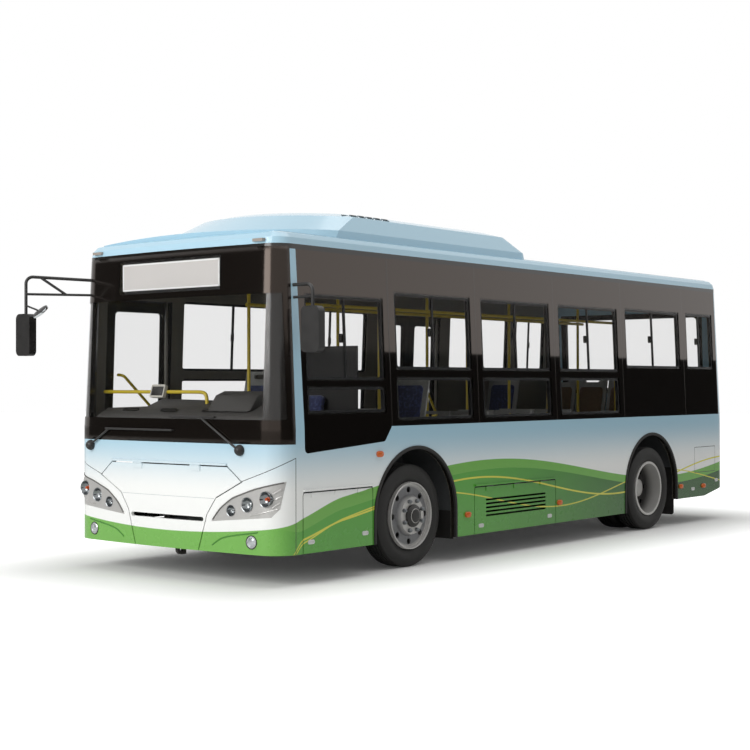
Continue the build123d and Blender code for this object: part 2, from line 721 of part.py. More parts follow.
CROSS_MEMBERS = (
    # X, height band, whether it runs between the rails, whether it has arms outside them
    (rail_front - CROSS_W, rail_low, True, False),
    (BOX_HALF + CROSS_W, rail_low, True, True),
    (-BOX_HALF - CROSS_W, rail_low, True, True),
    ((step_x - BOX_HALF) / 2, rail_low, True, True),
    (step_x - CROSS_W / 2, rail_low, True, False),
    (rear_boxes[0] - CROSS_W, rail_high, False, True),
    (rail_back + CROSS_W / 2, rail_high, True, True),
)
for x, band, has_middle, has_arms in CROSS_MEMBERS:
    span = (x - CROSS_W / 2, x + CROSS_W / 2)
    if has_middle:
        frame.append(panel(span, between, band))
    if has_arms:
        frame += both_sides(panel(span, outboard, band))
tow_x = rail_front + TOW_EYE_R / 2
tow_root = rail_front - CROSS_W / 2 + SEAT_GAP
tow = block((tow_root, tow_x), (-TOW_PLATE / 2, TOW_PLATE / 2), (TOW_Z - TOW_EYE_R, rail_low[1]))
tow += side_prism(Pos(tow_x, TOW_Z) * Circle(TOW_EYE_R), -TOW_PLATE / 2, TOW_PLATE / 2)
tow -= side_prism(Pos(tow_x, TOW_Z) * Circle(TOW_R), -TOW_PLATE, TOW_PLATE)
keep("chassis_frame", *frame, tow)

# Heavy masses under the raised floor
MOTOR_R = 180
MOTOR_LENGTH = 430
BATTERY_LENGTH = 760
BATTERY_HALF = 360
BATTERY_H = 250
motor_x = REAR_AXLE_X - 330
motor = Pos(motor_x, 0, TYRE_R) * Rot(0, -90, 0) * Cylinder(MOTOR_R, MOTOR_LENGTH, align=(Align.CENTER, Align.CENTER, Align.MIN))
motor += block((motor_x - MOTOR_LENGTH / 2 - CROSS_W, motor_x - MOTOR_LENGTH / 2 + CROSS_W),
               (-rail_y[0] + SEAT_GAP, rail_y[0] - SEAT_GAP), rail_high)
keep("drive_motor", motor)
battery_front = motor_x - MOTOR_LENGTH - CROSS_W
battery_back = max(battery_front - BATTERY_LENGTH, rail_back + CROSS_W + SEAT_GAP)
battery_top = high[0]
keep("battery_pack", block((battery_back, battery_front), (-BATTERY_HALF, BATTERY_HALF),
                           (battery_top - BATTERY_H, battery_top)))


# Wheels: a pressed disc wheel, axis across the bus, its disc standing out on the +Y side
def ring(points):
    """A solid of revolution about Y from (radius, Y) points."""
    return revolve(make_face(Polyline(*points, close=True)), Axis.Y)


rim_half = RIM_WIDTH / 2
barrel_in = RIM_R - RIM_WALL
disc_face = DISC_OFFSET - DISC_THICK
WEB_Y = 83
WEB_R = 185
FACE_R = 165
wheel_profile = (
    # radius, distance along the axle
    (barrel_in, -rim_half),
    (FLANGE_R, -rim_half),
    (FLANGE_R, -rim_half + RIM_WALL),
    (RIM_R, -rim_half + RIM_WALL),
    (RIM_R, rim_half - RIM_WALL),
    (FLANGE_R, rim_half - RIM_WALL),
    (FLANGE_R, rim_half),
    (barrel_in, rim_half),
    (barrel_in, WEB_Y + DISC_THICK),
    (WEB_R, WEB_Y + DISC_THICK),
    (FACE_R, DISC_OFFSET),
    (HUB_R + SEAT_GAP, DISC_OFFSET),
    (HUB_R + SEAT_GAP, disc_face),
    (FACE_R - DISC_THICK / 2, disc_face),
    (WEB_R - DISC_THICK / 2, WEB_Y),
    (barrel_in, WEB_Y),
)
wheel = ring(wheel_profile)
for step in range(HAND_HOLES):
    turn = Rot(0, step * 360 / HAND_HOLES, 0)
    wheel -= turn * Pos(HAND_HOLE_PCR, DISC_OFFSET, 0) * Rot(90, 0, 0) * Cylinder(HAND_HOLE_R, RIM_WIDTH / 2)
bead_r = RIM_R + SEAT_GAP
bead_half = rim_half - RIM_WALL - SEAT_GAP
tyre = ring((
    # radius, distance along the axle
    (bead_r, -bead_half),
    (bead_r, bead_half),
    (TYRE_R, bead_half),
    (TYRE_R, -bead_half),
))
CAP_R = 62
CAP_Y = 175
DRUM_IN = 60
flange_y = disc_face - SEAT_GAP
bore = STUB_R + SEAT_GAP
STUB_END = 150
PILOT_R = 150
front_hub = ring((
    # radius, distance along the axle
    (bore, -DRUM_IN),
    (DRUM_R, -DRUM_IN),
    (DRUM_R, DRUM_IN / 2),
    (PILOT_R, DRUM_IN / 2),
    (PILOT_R, flange_y),
    (HUB_R, flange_y),
    (HUB_R, DISC_OFFSET + DISC_THICK),
    (CAP_R, CAP_Y),
    (0, CAP_Y),
    (0, STUB_END + SEAT_GAP),
    (bore, STUB_END + SEAT_GAP),
))
for side, name in ((1, "left"), (-1, "right")):
    place = Pos(0, side * FRONT_HALF_TRACK, TYRE_R) * Rot(0, 0, 90 - 90 * side)
    keep(f"wheel_front_{name}", place * wheel, place * front_hub)
    keep(f"tyre_front_{name}", place * tyre)

# Twin rear wheels: two of the same wheel, disc to disc
twin_y = REAR_OUTER_Y - DUAL_SPACING / 2
SPINDLE_R = 45
HUB_IN = 230
HUB_OUT = 130
rear_bore = SPINDLE_R + SEAT_GAP
rear_hub = ring((
    # radius, distance along the axle
    (rear_bore, -HUB_IN),
    (DRUM_R, -HUB_IN),
    (DRUM_R, -HUB_IN / 2),
    (HUB_R, -HUB_IN / 3),
    (HUB_R, HUB_OUT - DISC_THICK),
    (CAP_R, HUB_OUT),
    (0, HUB_OUT),
    (0, HUB_IN / 3 + SEAT_GAP),
    (rear_bore, HUB_IN / 3 + SEAT_GAP),
))
outer_wheel = Pos(0, DUAL_SPACING / 2, 0) * Rot(0, 0, 180) * wheel
inner_wheel = Pos(0, -DUAL_SPACING / 2, 0) * wheel
tyre_pair = [Pos(0, side * DUAL_SPACING / 2, 0) * tyre for side in (-1, 1)]
for side, name in ((1, "left"), (-1, "right")):
    place = Pos(REAR_AXLE_X, side * twin_y, TYRE_R) * Rot(0, 0, 90 - 90 * side)
    keep(f"wheels_rear_{name}", place * outer_wheel, place * inner_wheel, place * rear_hub)
    keep(f"tyres_rear_{name}", *[place * solid for solid in tyre_pair])

# Front axle: a dropped beam with an eye for each kingpin; the knuckle forks round the eye
BEAM_LOW_Z = 150
BEAM_H = 80
BEAM_HALF = 55
BEAM_BEND = 655
BEAM_RISE = 745
EYE_R = 60
EYE_H = 110
FORK_H = 70
FORK_PLATE = 40
beam_points = (
    # half width, height
    (BEAM_BEND, BEAM_LOW_Z),
    (BEAM_RISE, TYRE_R - BEAM_H / 2),
    (KINGPIN_Y, TYRE_R - BEAM_H / 2),
    (KINGPIN_Y, TYRE_R + BEAM_H / 2),
    (BEAM_RISE - BEAM_H / 2, TYRE_R + BEAM_H / 2),
    (BEAM_BEND - BEAM_H / 2, BEAM_LOW_Z + BEAM_H),
)
beam = front_prism(half_outline(beam_points, True), -BEAM_HALF, BEAM_HALF)
for eye in both_sides(Pos(0, KINGPIN_Y, TYRE_R) * Cylinder(EYE_R, EYE_H)):
    beam += eye
for pin_hole in both_sides(Pos(0, KINGPIN_Y, TYRE_R) * Cylinder(KINGPIN_R + SEAT_GAP, 2 * EYE_H)):
    beam -= pin_hole
keep("front_axle", beam)
fork_gap = EYE_H / 2 + SEAT_GAP
fork_top = fork_gap + FORK_H
plate_out = FRONT_HALF_TRACK - DRUM_IN - HATCH_GAP
plate_y = (plate_out - FORK_PLATE, plate_out)
knuckle = Pos(0, KINGPIN_Y, TYRE_R) * Cylinder(KINGPIN_R, 2 * fork_top)
for low_z in (TYRE_R - fork_top, TYRE_R + fork_gap):
    knuckle += block((-EYE_R, EYE_R), (KINGPIN_Y - EYE_R, plate_out), (low_z, low_z + FORK_H))
knuckle += block((-EYE_R, EYE_R), plate_y, (TYRE_R - fork_top, TYRE_R + fork_top))
knuckle += rod((0, plate_out, TYRE_R), (0, FRONT_HALF_TRACK + STUB_END, TYRE_R), STUB_R)
eye_room = Pos(0, KINGPIN_Y, TYRE_R) * (Cylinder(EYE_R + HATCH_GAP, 2 * fork_gap) - Cylinder(KINGPIN_R, 2 * fork_gap))
knuckle_left, knuckle_right = both_sides(knuckle - eye_room)
keep("knuckle_left", knuckle_left)
keep("knuckle_right", knuckle_right)

# Rear axle: a tube with a round final-drive housing, spindles in the hubs
AXLE_TUBE_R = 75
BOWL_R = 190
BOWL_Y = 130
tube_end = twin_y - HUB_IN - HATCH_GAP
spindle_end = twin_y + HUB_IN / 3
axle_half = ring((
    # radius, distance along the axle
    (0, 0),
    (BOWL_R, 0),
    (BOWL_R, BOWL_Y / 2),
    (AXLE_TUBE_R, 2 * BOWL_Y),
    (AXLE_TUBE_R, tube_end),
    (SPINDLE_R, tube_end),
    (SPINDLE_R, spindle_end),
    (0, spindle_end),
))
rear_axle = Part() + both_sides(axle_half)
rear_axle = Pos(REAR_AXLE_X, 0, TYRE_R) * rear_axle
rear_axle += rod((REAR_AXLE_X, 0, TYRE_R), (motor_x + SEAT_GAP, 0, TYRE_R), SPINDLE_R)
keep("rear_axle", rear_axle)

# Air springs between the axles and the body, with a foot and a top plate each
SPRING_R = 85
SPRING_PLATE = 15
SPRING_H = 250
FRONT_SPRING_Y = 750
REAR_SPRING_Y = RAIL_Y


def spring(foot_z, top_z):
    """An air bellows on a foot post, from foot_z up to top_z."""
    bellows = top_z - SPRING_H if top_z - SPRING_H > foot_z else foot_z + SPRING_PLATE
    post = Pos(0, 0, foot_z) * Cylinder(SPRING_R / 2, bellows - foot_z, align=(Align.CENTER, Align.CENTER, Align.MIN))
    middle = (bellows + top_z - SPRING_PLATE) / 2
    waist = SPRING_R - 2 * SPRING_PLATE
    lobes = ((bellows, middle - SPRING_PLATE / 2), (middle + SPRING_PLATE / 2, top_z - SPRING_PLATE))
    points = [(0, bellows)]
    for low_end, high_end in lobes:
        points += [(SPRING_R, low_end), (SPRING_R, high_end), (waist, high_end)]
        points.append((waist, high_end + SPRING_PLATE))
    points.append((0, top_z))
    profile = make_face(Polyline(*points, close=True))
    return post + revolve(Plane.XZ * profile, Axis.Z)


front_spring = Pos(0, FRONT_SPRING_Y, 0) * spring(TYRE_R + BEAM_H / 2 + SEAT_GAP, BOX_TOP_Z - BOX_WALL - SEAT_GAP)
rear_foot = TYRE_R + AXLE_TUBE_R + SEAT_GAP
rear_spring = Pos(REAR_AXLE_X, REAR_SPRING_Y, 0) * spring(rear_foot, rail_high[0] - SEAT_GAP)
keep("suspension", *both_sides(front_spring), *both_sides(rear_spring))

# Mud flaps hung behind the wheels from the wheel boxes
FLAP_THICK = 8
FLAP_LOW_Z = 200
MUD_FLAPS = (
    # axle X, low Y, high Y
    (0, FRONT_BOX_Y + 300, cabin_half),
    (REAR_AXLE_X, REAR_BOX_Y + 2 * BOX_WALL, cabin_half),
)
mud_flaps = []
for axle_x, y_low, y_high in MUD_FLAPS:
    flap_back = axle_x - BOX_HALF + BOX_WALL + SEAT_GAP
    mud_flaps += both_sides(block((flap_back, flap_back + FLAP_THICK), (y_low, y_high), (FLAP_LOW_Z, TYRE_R)))
keep("mud_flaps", *mud_flaps)

# Dashboard, steering column and wheel
CAB_SIDE = 85
DASH_Y = (-400, cabin_half - CAB_SIDE)
DASH_LOW_Z = 740
DASH_SILL_Z = 1120
DASH_TOP_Z = 1190
DASH_REACH = 535
DASH_TUCK = 60
DASH_SLOPE = 90
DRIVER_SET = 205
driver_x = BOX_HALF + DRIVER_SET
dash_front = driver_x + DASH_REACH
dash_outline = Polyline(
    (dash_front + DASH_TUCK, DASH_LOW_Z),
    (dash_front, DASH_SILL_Z),
    (dash_front + DASH_SLOPE, DASH_TOP_Z),
    (FRONT_OVERHANG, DASH_SILL_Z),
    (FRONT_OVERHANG, DASH_LOW_Z),
    close=True,
)
dash = side_prism(make_face(dash_outline), *DASH_Y) & body(WALL + SEAT_GAP)
keep("dashboard", dash)
STEER_Y = 600
STEER_R = 225
STEER_GRIP = 16
GRIP_SIDES = 6
STEER_TILT = 22
COLUMN_R = 38
STEER_REACH = 385
STEER_Z = 1230
steer_centre = Vector(driver_x + STEER_REACH, STEER_Y, STEER_Z)
column_axis = Vector(sin(radians(STEER_TILT)), 0, -cos(radians(STEER_TILT)))
column_drop = (steer_centre.Z - PLATFORM_Z) / cos(radians(STEER_TILT))
HUB_DEPTH = 50
column = rod(steer_centre + column_axis * HUB_DEPTH, steer_centre + column_axis * column_drop * 1.2, COLUMN_R)
column &= block((0, FRONT_OVERHANG), LEFT, (PLATFORM_Z + SEAT_GAP, BELT_Z))
keep("steering_column", column - dash)
steer_plane = Plane(steer_centre, x_dir=(0, 1, 0), z_dir=column_axis * -1)
rim = steer_plane * revolve(Plane.XZ * Pos(STEER_R, 0) * RegularPolygon(STEER_GRIP, GRIP_SIDES), Axis.Z)
hub = steer_plane * Pos(0, 0, -HUB_DEPTH + SEAT_GAP) * Cylinder(COLUMN_R + STEER_GRIP, HUB_DEPTH, align=(Align.CENTER, Align.CENTER, Align.MIN))
steering_wheel = rim + hub
SPOKES = 3
for step in range(SPOKES):
    spoke = Rot(0, 0, step * 360 / SPOKES) * Pos(STEER_R / 2, 0, -STEER_GRIP / 2) * Box(STEER_R, 2 * STEER_GRIP, STEER_GRIP)
    steering_wheel += steer_plane * spoke
keep("steering_wheel", steering_wheel)

# Seats: a cushion and back on a pedestal, drawn from the side
SEAT_SPACE = 20
DOUBLE_PITCH = 0.18 * WIDTH
SEAT_W = DOUBLE_PITCH - SEAT_SPACE
SEAT_DEPTH = 420
CUSHION_Z = 440
CUSHION_H = 80
BACK_TOP = 1080
BACK_THICK = 70
BACK_LEAN = 110
PEDESTAL = 120
SEAT_SIDE = 15
BOX_SEAT_SIDE = 45
FIRST_ROW_SET = 440
ROW_PITCH = 750
REAR_BENCH_SET = 190
PAIR = 2
REAR_SEATS = 5


def seat(cushion_z):
    """A seat's cushion and back, facing +X, its cushion's rear edge at X = 0."""
    top = cushion_z + CUSHION_H
    back_top = cushion_z + BACK_TOP - CUSHION_Z
    cushion = block((-BACK_THICK, SEAT_DEPTH), (0, SEAT_W), (cushion_z, top))
    back_outline = Polyline(
        (-BACK_THICK, top + SEAT_GAP),
        (0, top + SEAT_GAP),
        (-BACK_LEAN, back_top),
        (-BACK_LEAN - BACK_THICK, back_top),
        close=True,
    )
    return [cushion, side_prism(make_face(back_outline), 0, SEAT_W)]


def bench(x, y, floor_z, count):
    """A row of count seats on a rail and a leg, its inner end at Y."""
    cushion_z = CUSHION_Z - CUSHION_H
    width = count * DOUBLE_PITCH
    leg_x = (SEAT_DEPTH / 3, SEAT_DEPTH / 3 + PEDESTAL)
    rail_z = cushion_z - BOX_WALL
    row = [block(leg_x, (PEDESTAL, width - PEDESTAL), (SEAT_GAP, rail_z - SEAT_GAP))]
    row.append(block(leg_x, (0, width - DOUBLE_PITCH + SEAT_W), (rail_z, cushion_z - SEAT_GAP)))
    for step in range(count):
        row += [Pos(0, step * DOUBLE_PITCH, 0) * solid for solid in seat(cushion_z)]
    return [Pos(x, y, floor_z) * solid for solid in row]


wall_y = cabin_half - SEAT_SIDE
aisle_half = wall_y - DOUBLE_PITCH - SEAT_W
first_row_x = -BOX_HALF - FIRST_ROW_SET
rear_bench_y = (SEAT_SPACE - REAR_SEATS * DOUBLE_PITCH) / 2
SEAT_ROWS = (
    # cushion's rear X, inner end Y, floor height, seats across
    (first_row_x, aisle_half, FLOOR_Z, PAIR),
    (first_row_x - ROW_PITCH, aisle_half, FLOOR_Z, PAIR),
    (first_row_x - 2 * ROW_PITCH, aisle_half, FLOOR_Z, PAIR),
    (first_row_x, -wall_y, FLOOR_Z, PAIR),
    (first_row_x - ROW_PITCH, -wall_y, FLOOR_Z, PAIR),
    (REAR_SEAM_X + REAR_BENCH_SET, rear_bench_y, REAR_FLOOR_Z, REAR_SEATS),
)
seats = []
for row in SEAT_ROWS:
    seats += bench(*row)
box_seat_y = cabin_half - BOX_SEAT_SIDE
BOX_SEATS = (
    # axle X, Y of the seat's edge
    (0, box_seat_y - SEAT_W),
    (0, -box_seat_y),
    (REAR_AXLE_X, box_seat_y - SEAT_W),
    (REAR_AXLE_X, -box_seat_y),
)
for x, y in BOX_SEATS:
    seats += [Pos(x - SEAT_DEPTH / 2, y, BOX_TOP_Z + SEAT_GAP) * solid for solid in seat(0)]
keep("passenger_seats", *seats)
DRIVER_CUSHION = 350
stand_x = (SEAT_DEPTH / 4, SEAT_DEPTH * 3 / 4)
stand_y = (PEDESTAL / 2, SEAT_W - PEDESTAL / 2)
driver = [block(stand_x, stand_y, (SEAT_GAP, DRIVER_CUSHION - SEAT_GAP)), *seat(DRIVER_CUSHION)]
driver_place = Pos(driver_x, STEER_Y - SEAT_W / 2, PLATFORM_Z)
keep("driver_seat", *[driver_place * solid for solid in driver])

# Partition behind the driver, standing on the platform
PARTITION_THICK = 22
PARTITION_Y = (60, cabin_half - CAB_SIDE)
PARTITION_TOP = 1950
partition_x = BOX_HALF + SEAT_GAP
keep("driver_partition", block((partition_x, partition_x + PARTITION_THICK), PARTITION_Y, (PLATFORM_Z + SEAT_GAP, PARTITION_TOP)))

# Handrails: upright poles from floor to ceiling and two long rails under the roof
POLE_R = 16
POLE_CLEAR = 38
RAIL_SIDE_Y = aisle_half - POLE_CLEAR
OVERHEAD_Z = 2350
FRONT_POLE_SET = 80
ROW_POLE_SET = 60
REAR_POLE_SET = 930
row_pole_x = first_row_x - 2 * ROW_PITCH + SEAT_DEPTH
rear_pole_x = REAR_AXLE_X - REAR_POLE_SET
POLES = (
    # X, side, floor height
    (BOX_HALF - FRONT_POLE_SET, 1, FLOOR_Z),
    (BOX_HALF - FRONT_POLE_SET, -1, FLOOR_Z),
    (-BOX_HALF - ROW_POLE_SET, 1, FLOOR_Z),
    (-BOX_HALF - ROW_POLE_SET, -1, FLOOR_Z),
    (row_pole_x, -1, FLOOR_Z),
    (row_pole_x, 1, FLOOR_Z),
    (step_x - ROW_POLE_SET, -1, REAR_FLOOR_Z),
    (step_x - ROW_POLE_SET, 1, REAR_FLOOR_Z),
    (rear_pole_x, 1, REAR_FLOOR_Z),
    (rear_pole_x, -1, REAR_FLOOR_Z),
)
ceiling_z = ROOF_TOP_Z - WALL - SEAT_GAP
rails = []
for x, side, foot in POLES:
    y = side * RAIL_SIDE_Y
    top = ceiling_z - (RAIL_SIDE_Y + POLE_R) ** 2 / (2 * CROWN_RADIUS)
    rails.append(rod((x, y, foot + SEAT_GAP), (x, y, top), POLE_R))
overhead_y = RAIL_SIDE_Y - 2 * POLE_R - SEAT_GAP
overhead_x = (POLES[-1][0] - 4 * POLE_R, POLES[0][0] + 4 * POLE_R)
for y in (-overhead_y, overhead_y):
    rails.append(rod((overhead_x[0], y, OVERHEAD_Z), (overhead_x[1], y, OVERHEAD_Z), POLE_R))
keep("handrails", *rails)

# Destination sign's box behind the top of the windscreen
SIGN_HALF = 620
SIGN_Z = (2390, SCREEN_FRAME_TOP - SEAT_GAP)
SIGN_DEPTH = 130
sign_front = nose_x(SIGN_HALF, SIGN_Z[1]) - GLASS - HATCH_GAP
keep("sign_box", block((sign_front - SIGN_DEPTH, sign_front), (-SIGN_HALF, SIGN_HALF), SIGN_Z))

# Marker lamps: two on the roof's front edge, side markers along the skirts
MARKER_R = 24
MARKER_T = 12
ROOF_LAMP_Y = 980
ROOF_LAMP = (70, 110, 24)
ROOF_LAMP_Z = 2782
SIDE_MARKERS = (
    # X, height
    (525, 1023),
    (-768, 415),
    (-2360, 426),
    (REAR_AXLE_X - 680, 443),
    (REAR_AXLE_X - 1245, 420),
)
markers = []
for x, z in SIDE_MARKERS:
    markers += both_sides(rod((x, WIDTH / 2 + SEAT_GAP, z), (x, WIDTH / 2 + MARKER_T, z), MARKER_R))
roof_lamp_x = nose_x(ROOF_LAMP_Y, BAND_TOP_Z) - MARKER_T
roof_lamp = Pos(roof_lamp_x, ROOF_LAMP_Y, ROOF_LAMP_Z) * Box(*ROOF_LAMP) - roof_outer
markers += both_sides(roof_lamp.solids().sort_by(Axis.X)[-1])
keep("marker_lamps", *markers)

# Mirrors: bent tubes from the front corners, each with a moulded head
MIRROR_TUBE_R = 14
MIRROR_STAY_R = 11
MIRROR_BEND = 60
MIRROR_HEAD = (75, 190, 370)
MIRROR_HEAD_Z = 2060
ARM_TOP_Z = 2550
ARM_LOW_Z = 2420
mirror_y = (MIRROR_SPAN - MIRROR_HEAD[1]) / 2
arm_x = MIRROR_REACH - MIRROR_HEAD[0] / 2
arm_foot_y = 1060
arm_foot_x = nose_x(arm_foot_y, ARM_TOP_Z) - FRONT_BOW


def mirror_head(x, y):
    """A mirror's moulded head about its centre."""
    box = Box(*MIRROR_HEAD)
    box = fillet(box.edges().filter_by(Axis.X), MIRROR_HEAD[1] / 4)
    return Pos(x, y, MIRROR_HEAD_Z) * box


right_arm = bent_tube(
    ((arm_foot_x, -arm_foot_y, ARM_TOP_Z), (arm_x, -mirror_y, ARM_TOP_Z + 25), (arm_x, -mirror_y, MIRROR_HEAD_Z)),
    MIRROR_BEND, MIRROR_TUBE_R)
right_arm += rod((arm_foot_x, -arm_foot_y, ARM_LOW_Z), (arm_x, -mirror_y, ARM_LOW_Z), MIRROR_STAY_R)
right_arm -= outer
right_mirror = right_arm.solids().sort_by(SortBy.VOLUME)[-1] + mirror_head(arm_x, -mirror_y)
left_x = A_SEAM_X - DRIVER_FRONT_SET / 3
left_foot_y = half_width(ARM_LOW_Z)
left_arm = bent_tube(
    ((left_x, left_foot_y - WALL, ARM_LOW_Z), (left_x, mirror_y, ARM_LOW_Z), (left_x, mirror_y, MIRROR_HEAD_Z)),
    MIRROR_BEND, MIRROR_TUBE_R)
left_arm += rod((left_x, left_foot_y - WALL, ARM_LOW_Z - 100), (left_x, mirror_y, ARM_LOW_Z - 100), MIRROR_STAY_R)
left_arm -= outer
left_mirror = left_arm.solids().sort_by(SortBy.VOLUME)[-1] + mirror_head(left_x, mirror_y)
keep("mirrors", right_mirror, left_mirror)

# Wipers: a spindle, an arm and a blade on each side, standing off the glass
WIPER_OFF = 22
WIPER_R = 9
SPINDLE_BOSS = 26
WIPERS = (
    # spindle Y, Z, arm's end Y, Z, blade's ends Y
    (840, 1090, 420, 1353, 60, 580),
    (-1000, 1089, -720, 1240, -770, 100),
)
wipers = []
for foot_y, foot_z, end_y, end_z, blade_low, blade_high in WIPERS:
    foot_x = nose_x(foot_y, foot_z)
    end_x = nose_x(end_y, end_z) + WIPER_OFF
    start = (foot_x + WIPER_OFF, foot_y, foot_z)
    wiper = rod((foot_x - WALL / 2, foot_y, foot_z), (foot_x + 2 * WIPER_OFF, foot_y, foot_z), SPINDLE_BOSS)
    wiper += rod(start, (end_x, end_y, end_z), WIPER_R)
    tips = [(nose_x(y, end_z) + WIPER_OFF, y, end_z) for y in (blade_low, blade_high)]
    wiper += rod(tips[0], tips[1], WIPER_R)
    wiper -= outer
    wipers.append(wiper.solids().sort_by(SortBy.VOLUME)[-1])
keep("wipers", *wipers)
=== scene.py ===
import math

import bpy
from mathutils import Matrix, Vector


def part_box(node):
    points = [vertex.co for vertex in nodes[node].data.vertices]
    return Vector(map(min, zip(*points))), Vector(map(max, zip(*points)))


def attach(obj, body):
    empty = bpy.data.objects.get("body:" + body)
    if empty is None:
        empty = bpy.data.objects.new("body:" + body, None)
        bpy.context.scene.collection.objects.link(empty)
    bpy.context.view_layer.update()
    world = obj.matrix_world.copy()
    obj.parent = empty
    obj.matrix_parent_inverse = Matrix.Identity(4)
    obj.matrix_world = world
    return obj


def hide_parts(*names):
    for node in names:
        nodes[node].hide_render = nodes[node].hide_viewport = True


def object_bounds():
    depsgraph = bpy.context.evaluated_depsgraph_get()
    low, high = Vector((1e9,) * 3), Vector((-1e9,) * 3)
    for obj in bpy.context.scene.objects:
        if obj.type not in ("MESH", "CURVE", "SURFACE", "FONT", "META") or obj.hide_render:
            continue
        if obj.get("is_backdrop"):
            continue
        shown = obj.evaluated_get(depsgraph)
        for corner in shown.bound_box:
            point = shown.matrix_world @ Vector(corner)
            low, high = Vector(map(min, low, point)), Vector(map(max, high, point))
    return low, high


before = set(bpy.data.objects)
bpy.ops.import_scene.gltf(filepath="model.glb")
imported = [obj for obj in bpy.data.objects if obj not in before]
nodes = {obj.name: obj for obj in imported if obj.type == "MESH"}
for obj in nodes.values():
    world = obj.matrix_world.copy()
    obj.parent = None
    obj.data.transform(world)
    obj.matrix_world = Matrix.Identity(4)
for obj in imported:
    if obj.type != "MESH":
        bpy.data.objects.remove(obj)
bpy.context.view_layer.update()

bpy.ops.object.select_all(action="DESELECT")

# Chassis frame, axles and knuckles: rolled and forged steel, welded or bolted up,
# then sprayed with black chassis enamel that dulls and gathers road dust.
FRONT_AXLE_X = sum(corner.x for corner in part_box("tyre_front_left")) / 2
REAR_AXLE_X = sum(corner.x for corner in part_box("tyres_rear_left")) / 2
AXLE_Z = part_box("tyre_front_left")[1].z / 2


def linear(colour):
    """A linear RGBA colour from an sRGB hex value."""
    shares = [int(colour[i:i + 2], 16) / 255 for i in (1, 3, 5)]
    return [s / 12.92 if s <= 0.04045 else ((s + 0.055) / 1.055) ** 2.4 for s in shares] + [1]


def add(tree, kind, inputs, out=0, **settings):
    """Add a shader node with its properties, fill its sockets with values or links, and give one output."""
    made = tree.nodes.new("ShaderNode" + kind)
    for name, value in settings.items():
        setattr(made, name, value)
    for socket, value in inputs.items():
        if isinstance(value, bpy.types.NodeSocket):
            tree.links.new(value, made.inputs[socket])
        else:
            made.inputs[socket].default_value = value
    return made.outputs[out]


def start_material(name, roughness, metallic=0.0):
    """A material, its tree, its shader and its Object coordinates."""
    made = bpy.data.materials.new(name)
    made.use_nodes = True
    tree = made.node_tree
    shader = tree.nodes["Principled BSDF"]
    shader.inputs["Roughness"].default_value = roughness
    shader.inputs["Metallic"].default_value = metallic
    return made, tree, shader, add(tree, "TexCoord", {}, out="Object")


def dress(material, *names):
    """Give CAD nodes their finish."""
    for name in names:
        nodes[name].data.materials.clear()
        nodes[name].data.materials.append(material)


# What a colour mix node is set to, and which of its outputs is read.
COLOURS = {"out": "Result", "data_type": "RGBA"}


def finish_of(name, colour, dust, roughness, patch_mm, grain_mm, depth_mm, metallic=0.0):
    """A sprayed or moulded finish: two close shades in soft patches, over a fine grain."""
    made, tree, shader, place = start_material(name, roughness, metallic)
    patches = add(tree, "TexNoise", {"Vector": place, "Scale": 1000 / patch_mm, "Detail": 4.0})
    shade = add(tree, "Mix", {"Factor": patches, "A": linear(colour), "B": linear(dust)}, **COLOURS)
    tree.links.new(shade, shader.inputs["Base Color"])
    matt = add(tree, "MapRange", {"Value": patches, "To Min": roughness - 0.08, "To Max": roughness + 0.08})
    tree.links.new(matt, shader.inputs["Roughness"])
    grain = add(tree, "TexNoise", {"Vector": place, "Scale": 1000 / grain_mm, "Detail": 2.0})
    bump = add(tree, "Bump", {"Height": grain, "Strength": 0.25, "Distance": depth_mm / 1000})
    tree.links.new(bump, shader.inputs["Normal"])
    return made


# The enamel is satin, with dust that greys it in patches a hand wide.
chassis_enamel = finish_of("black chassis enamel", "#1C1B1A", "#34302C", 0.5, 160, 6, 0.4)
dress(chassis_enamel, "chassis_frame", "front_axle", "rear_axle", "knuckle_left", "knuckle_right")

# Drive motor and battery: housings of sand-cast aluminium, bolted under the floor and
# left as cast, so the metal is pale and slightly rough.
cast_alloy = finish_of("sand-cast aluminium", "#8D8F90", "#A2A3A3", 0.48, 120, 3, 0.5, metallic=0.9)
dress(cast_alloy, "drive_motor", "battery_pack")

# Air springs and mud flaps: moulded carbon-black rubber, bolted between plates or hung
# from the wheel boxes. It is dull, with a faint grey bloom.
rubber = finish_of("moulded black rubber", "#151413", "#242220", 0.72, 90, 2.5, 0.3)
dress(rubber, "suspension", "mud_flaps")

# Tyres: steel-belted radials. Smooth sidewalls with moulded rings, and a road tread
# of ribs parted by grooves that run right round.
TYRE_R = AXLE_Z
BEAD_R = 0.292
SECTION_HALF = 0.118
TREAD_HALF = 0.094
GROOVE_DEEP = 0.011
GROOVE_HALF = 0.006
GROOVES_Y = (-0.057, -0.019, 0.019, 0.057)
TWIN = 0.275
TYRE_STEPS = 96
SMOOTH_ANGLE = math.radians(32)
MERGE = 0.00002


def settle(piece, material, body):
    """Put a finished piece's place into its mesh, smooth it, and fix it to a body."""
    bpy.ops.object.select_all(action="DESELECT")
    piece.select_set(True)
    bpy.context.view_layer.objects.active = piece
    bpy.ops.object.transform_apply(location=True, rotation=True, scale=True)
    bpy.ops.object.shade_smooth_by_angle(angle=SMOOTH_ANGLE)
    piece.data.materials.clear()
    piece.data.materials.append(material)
    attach(piece, body)
    return piece


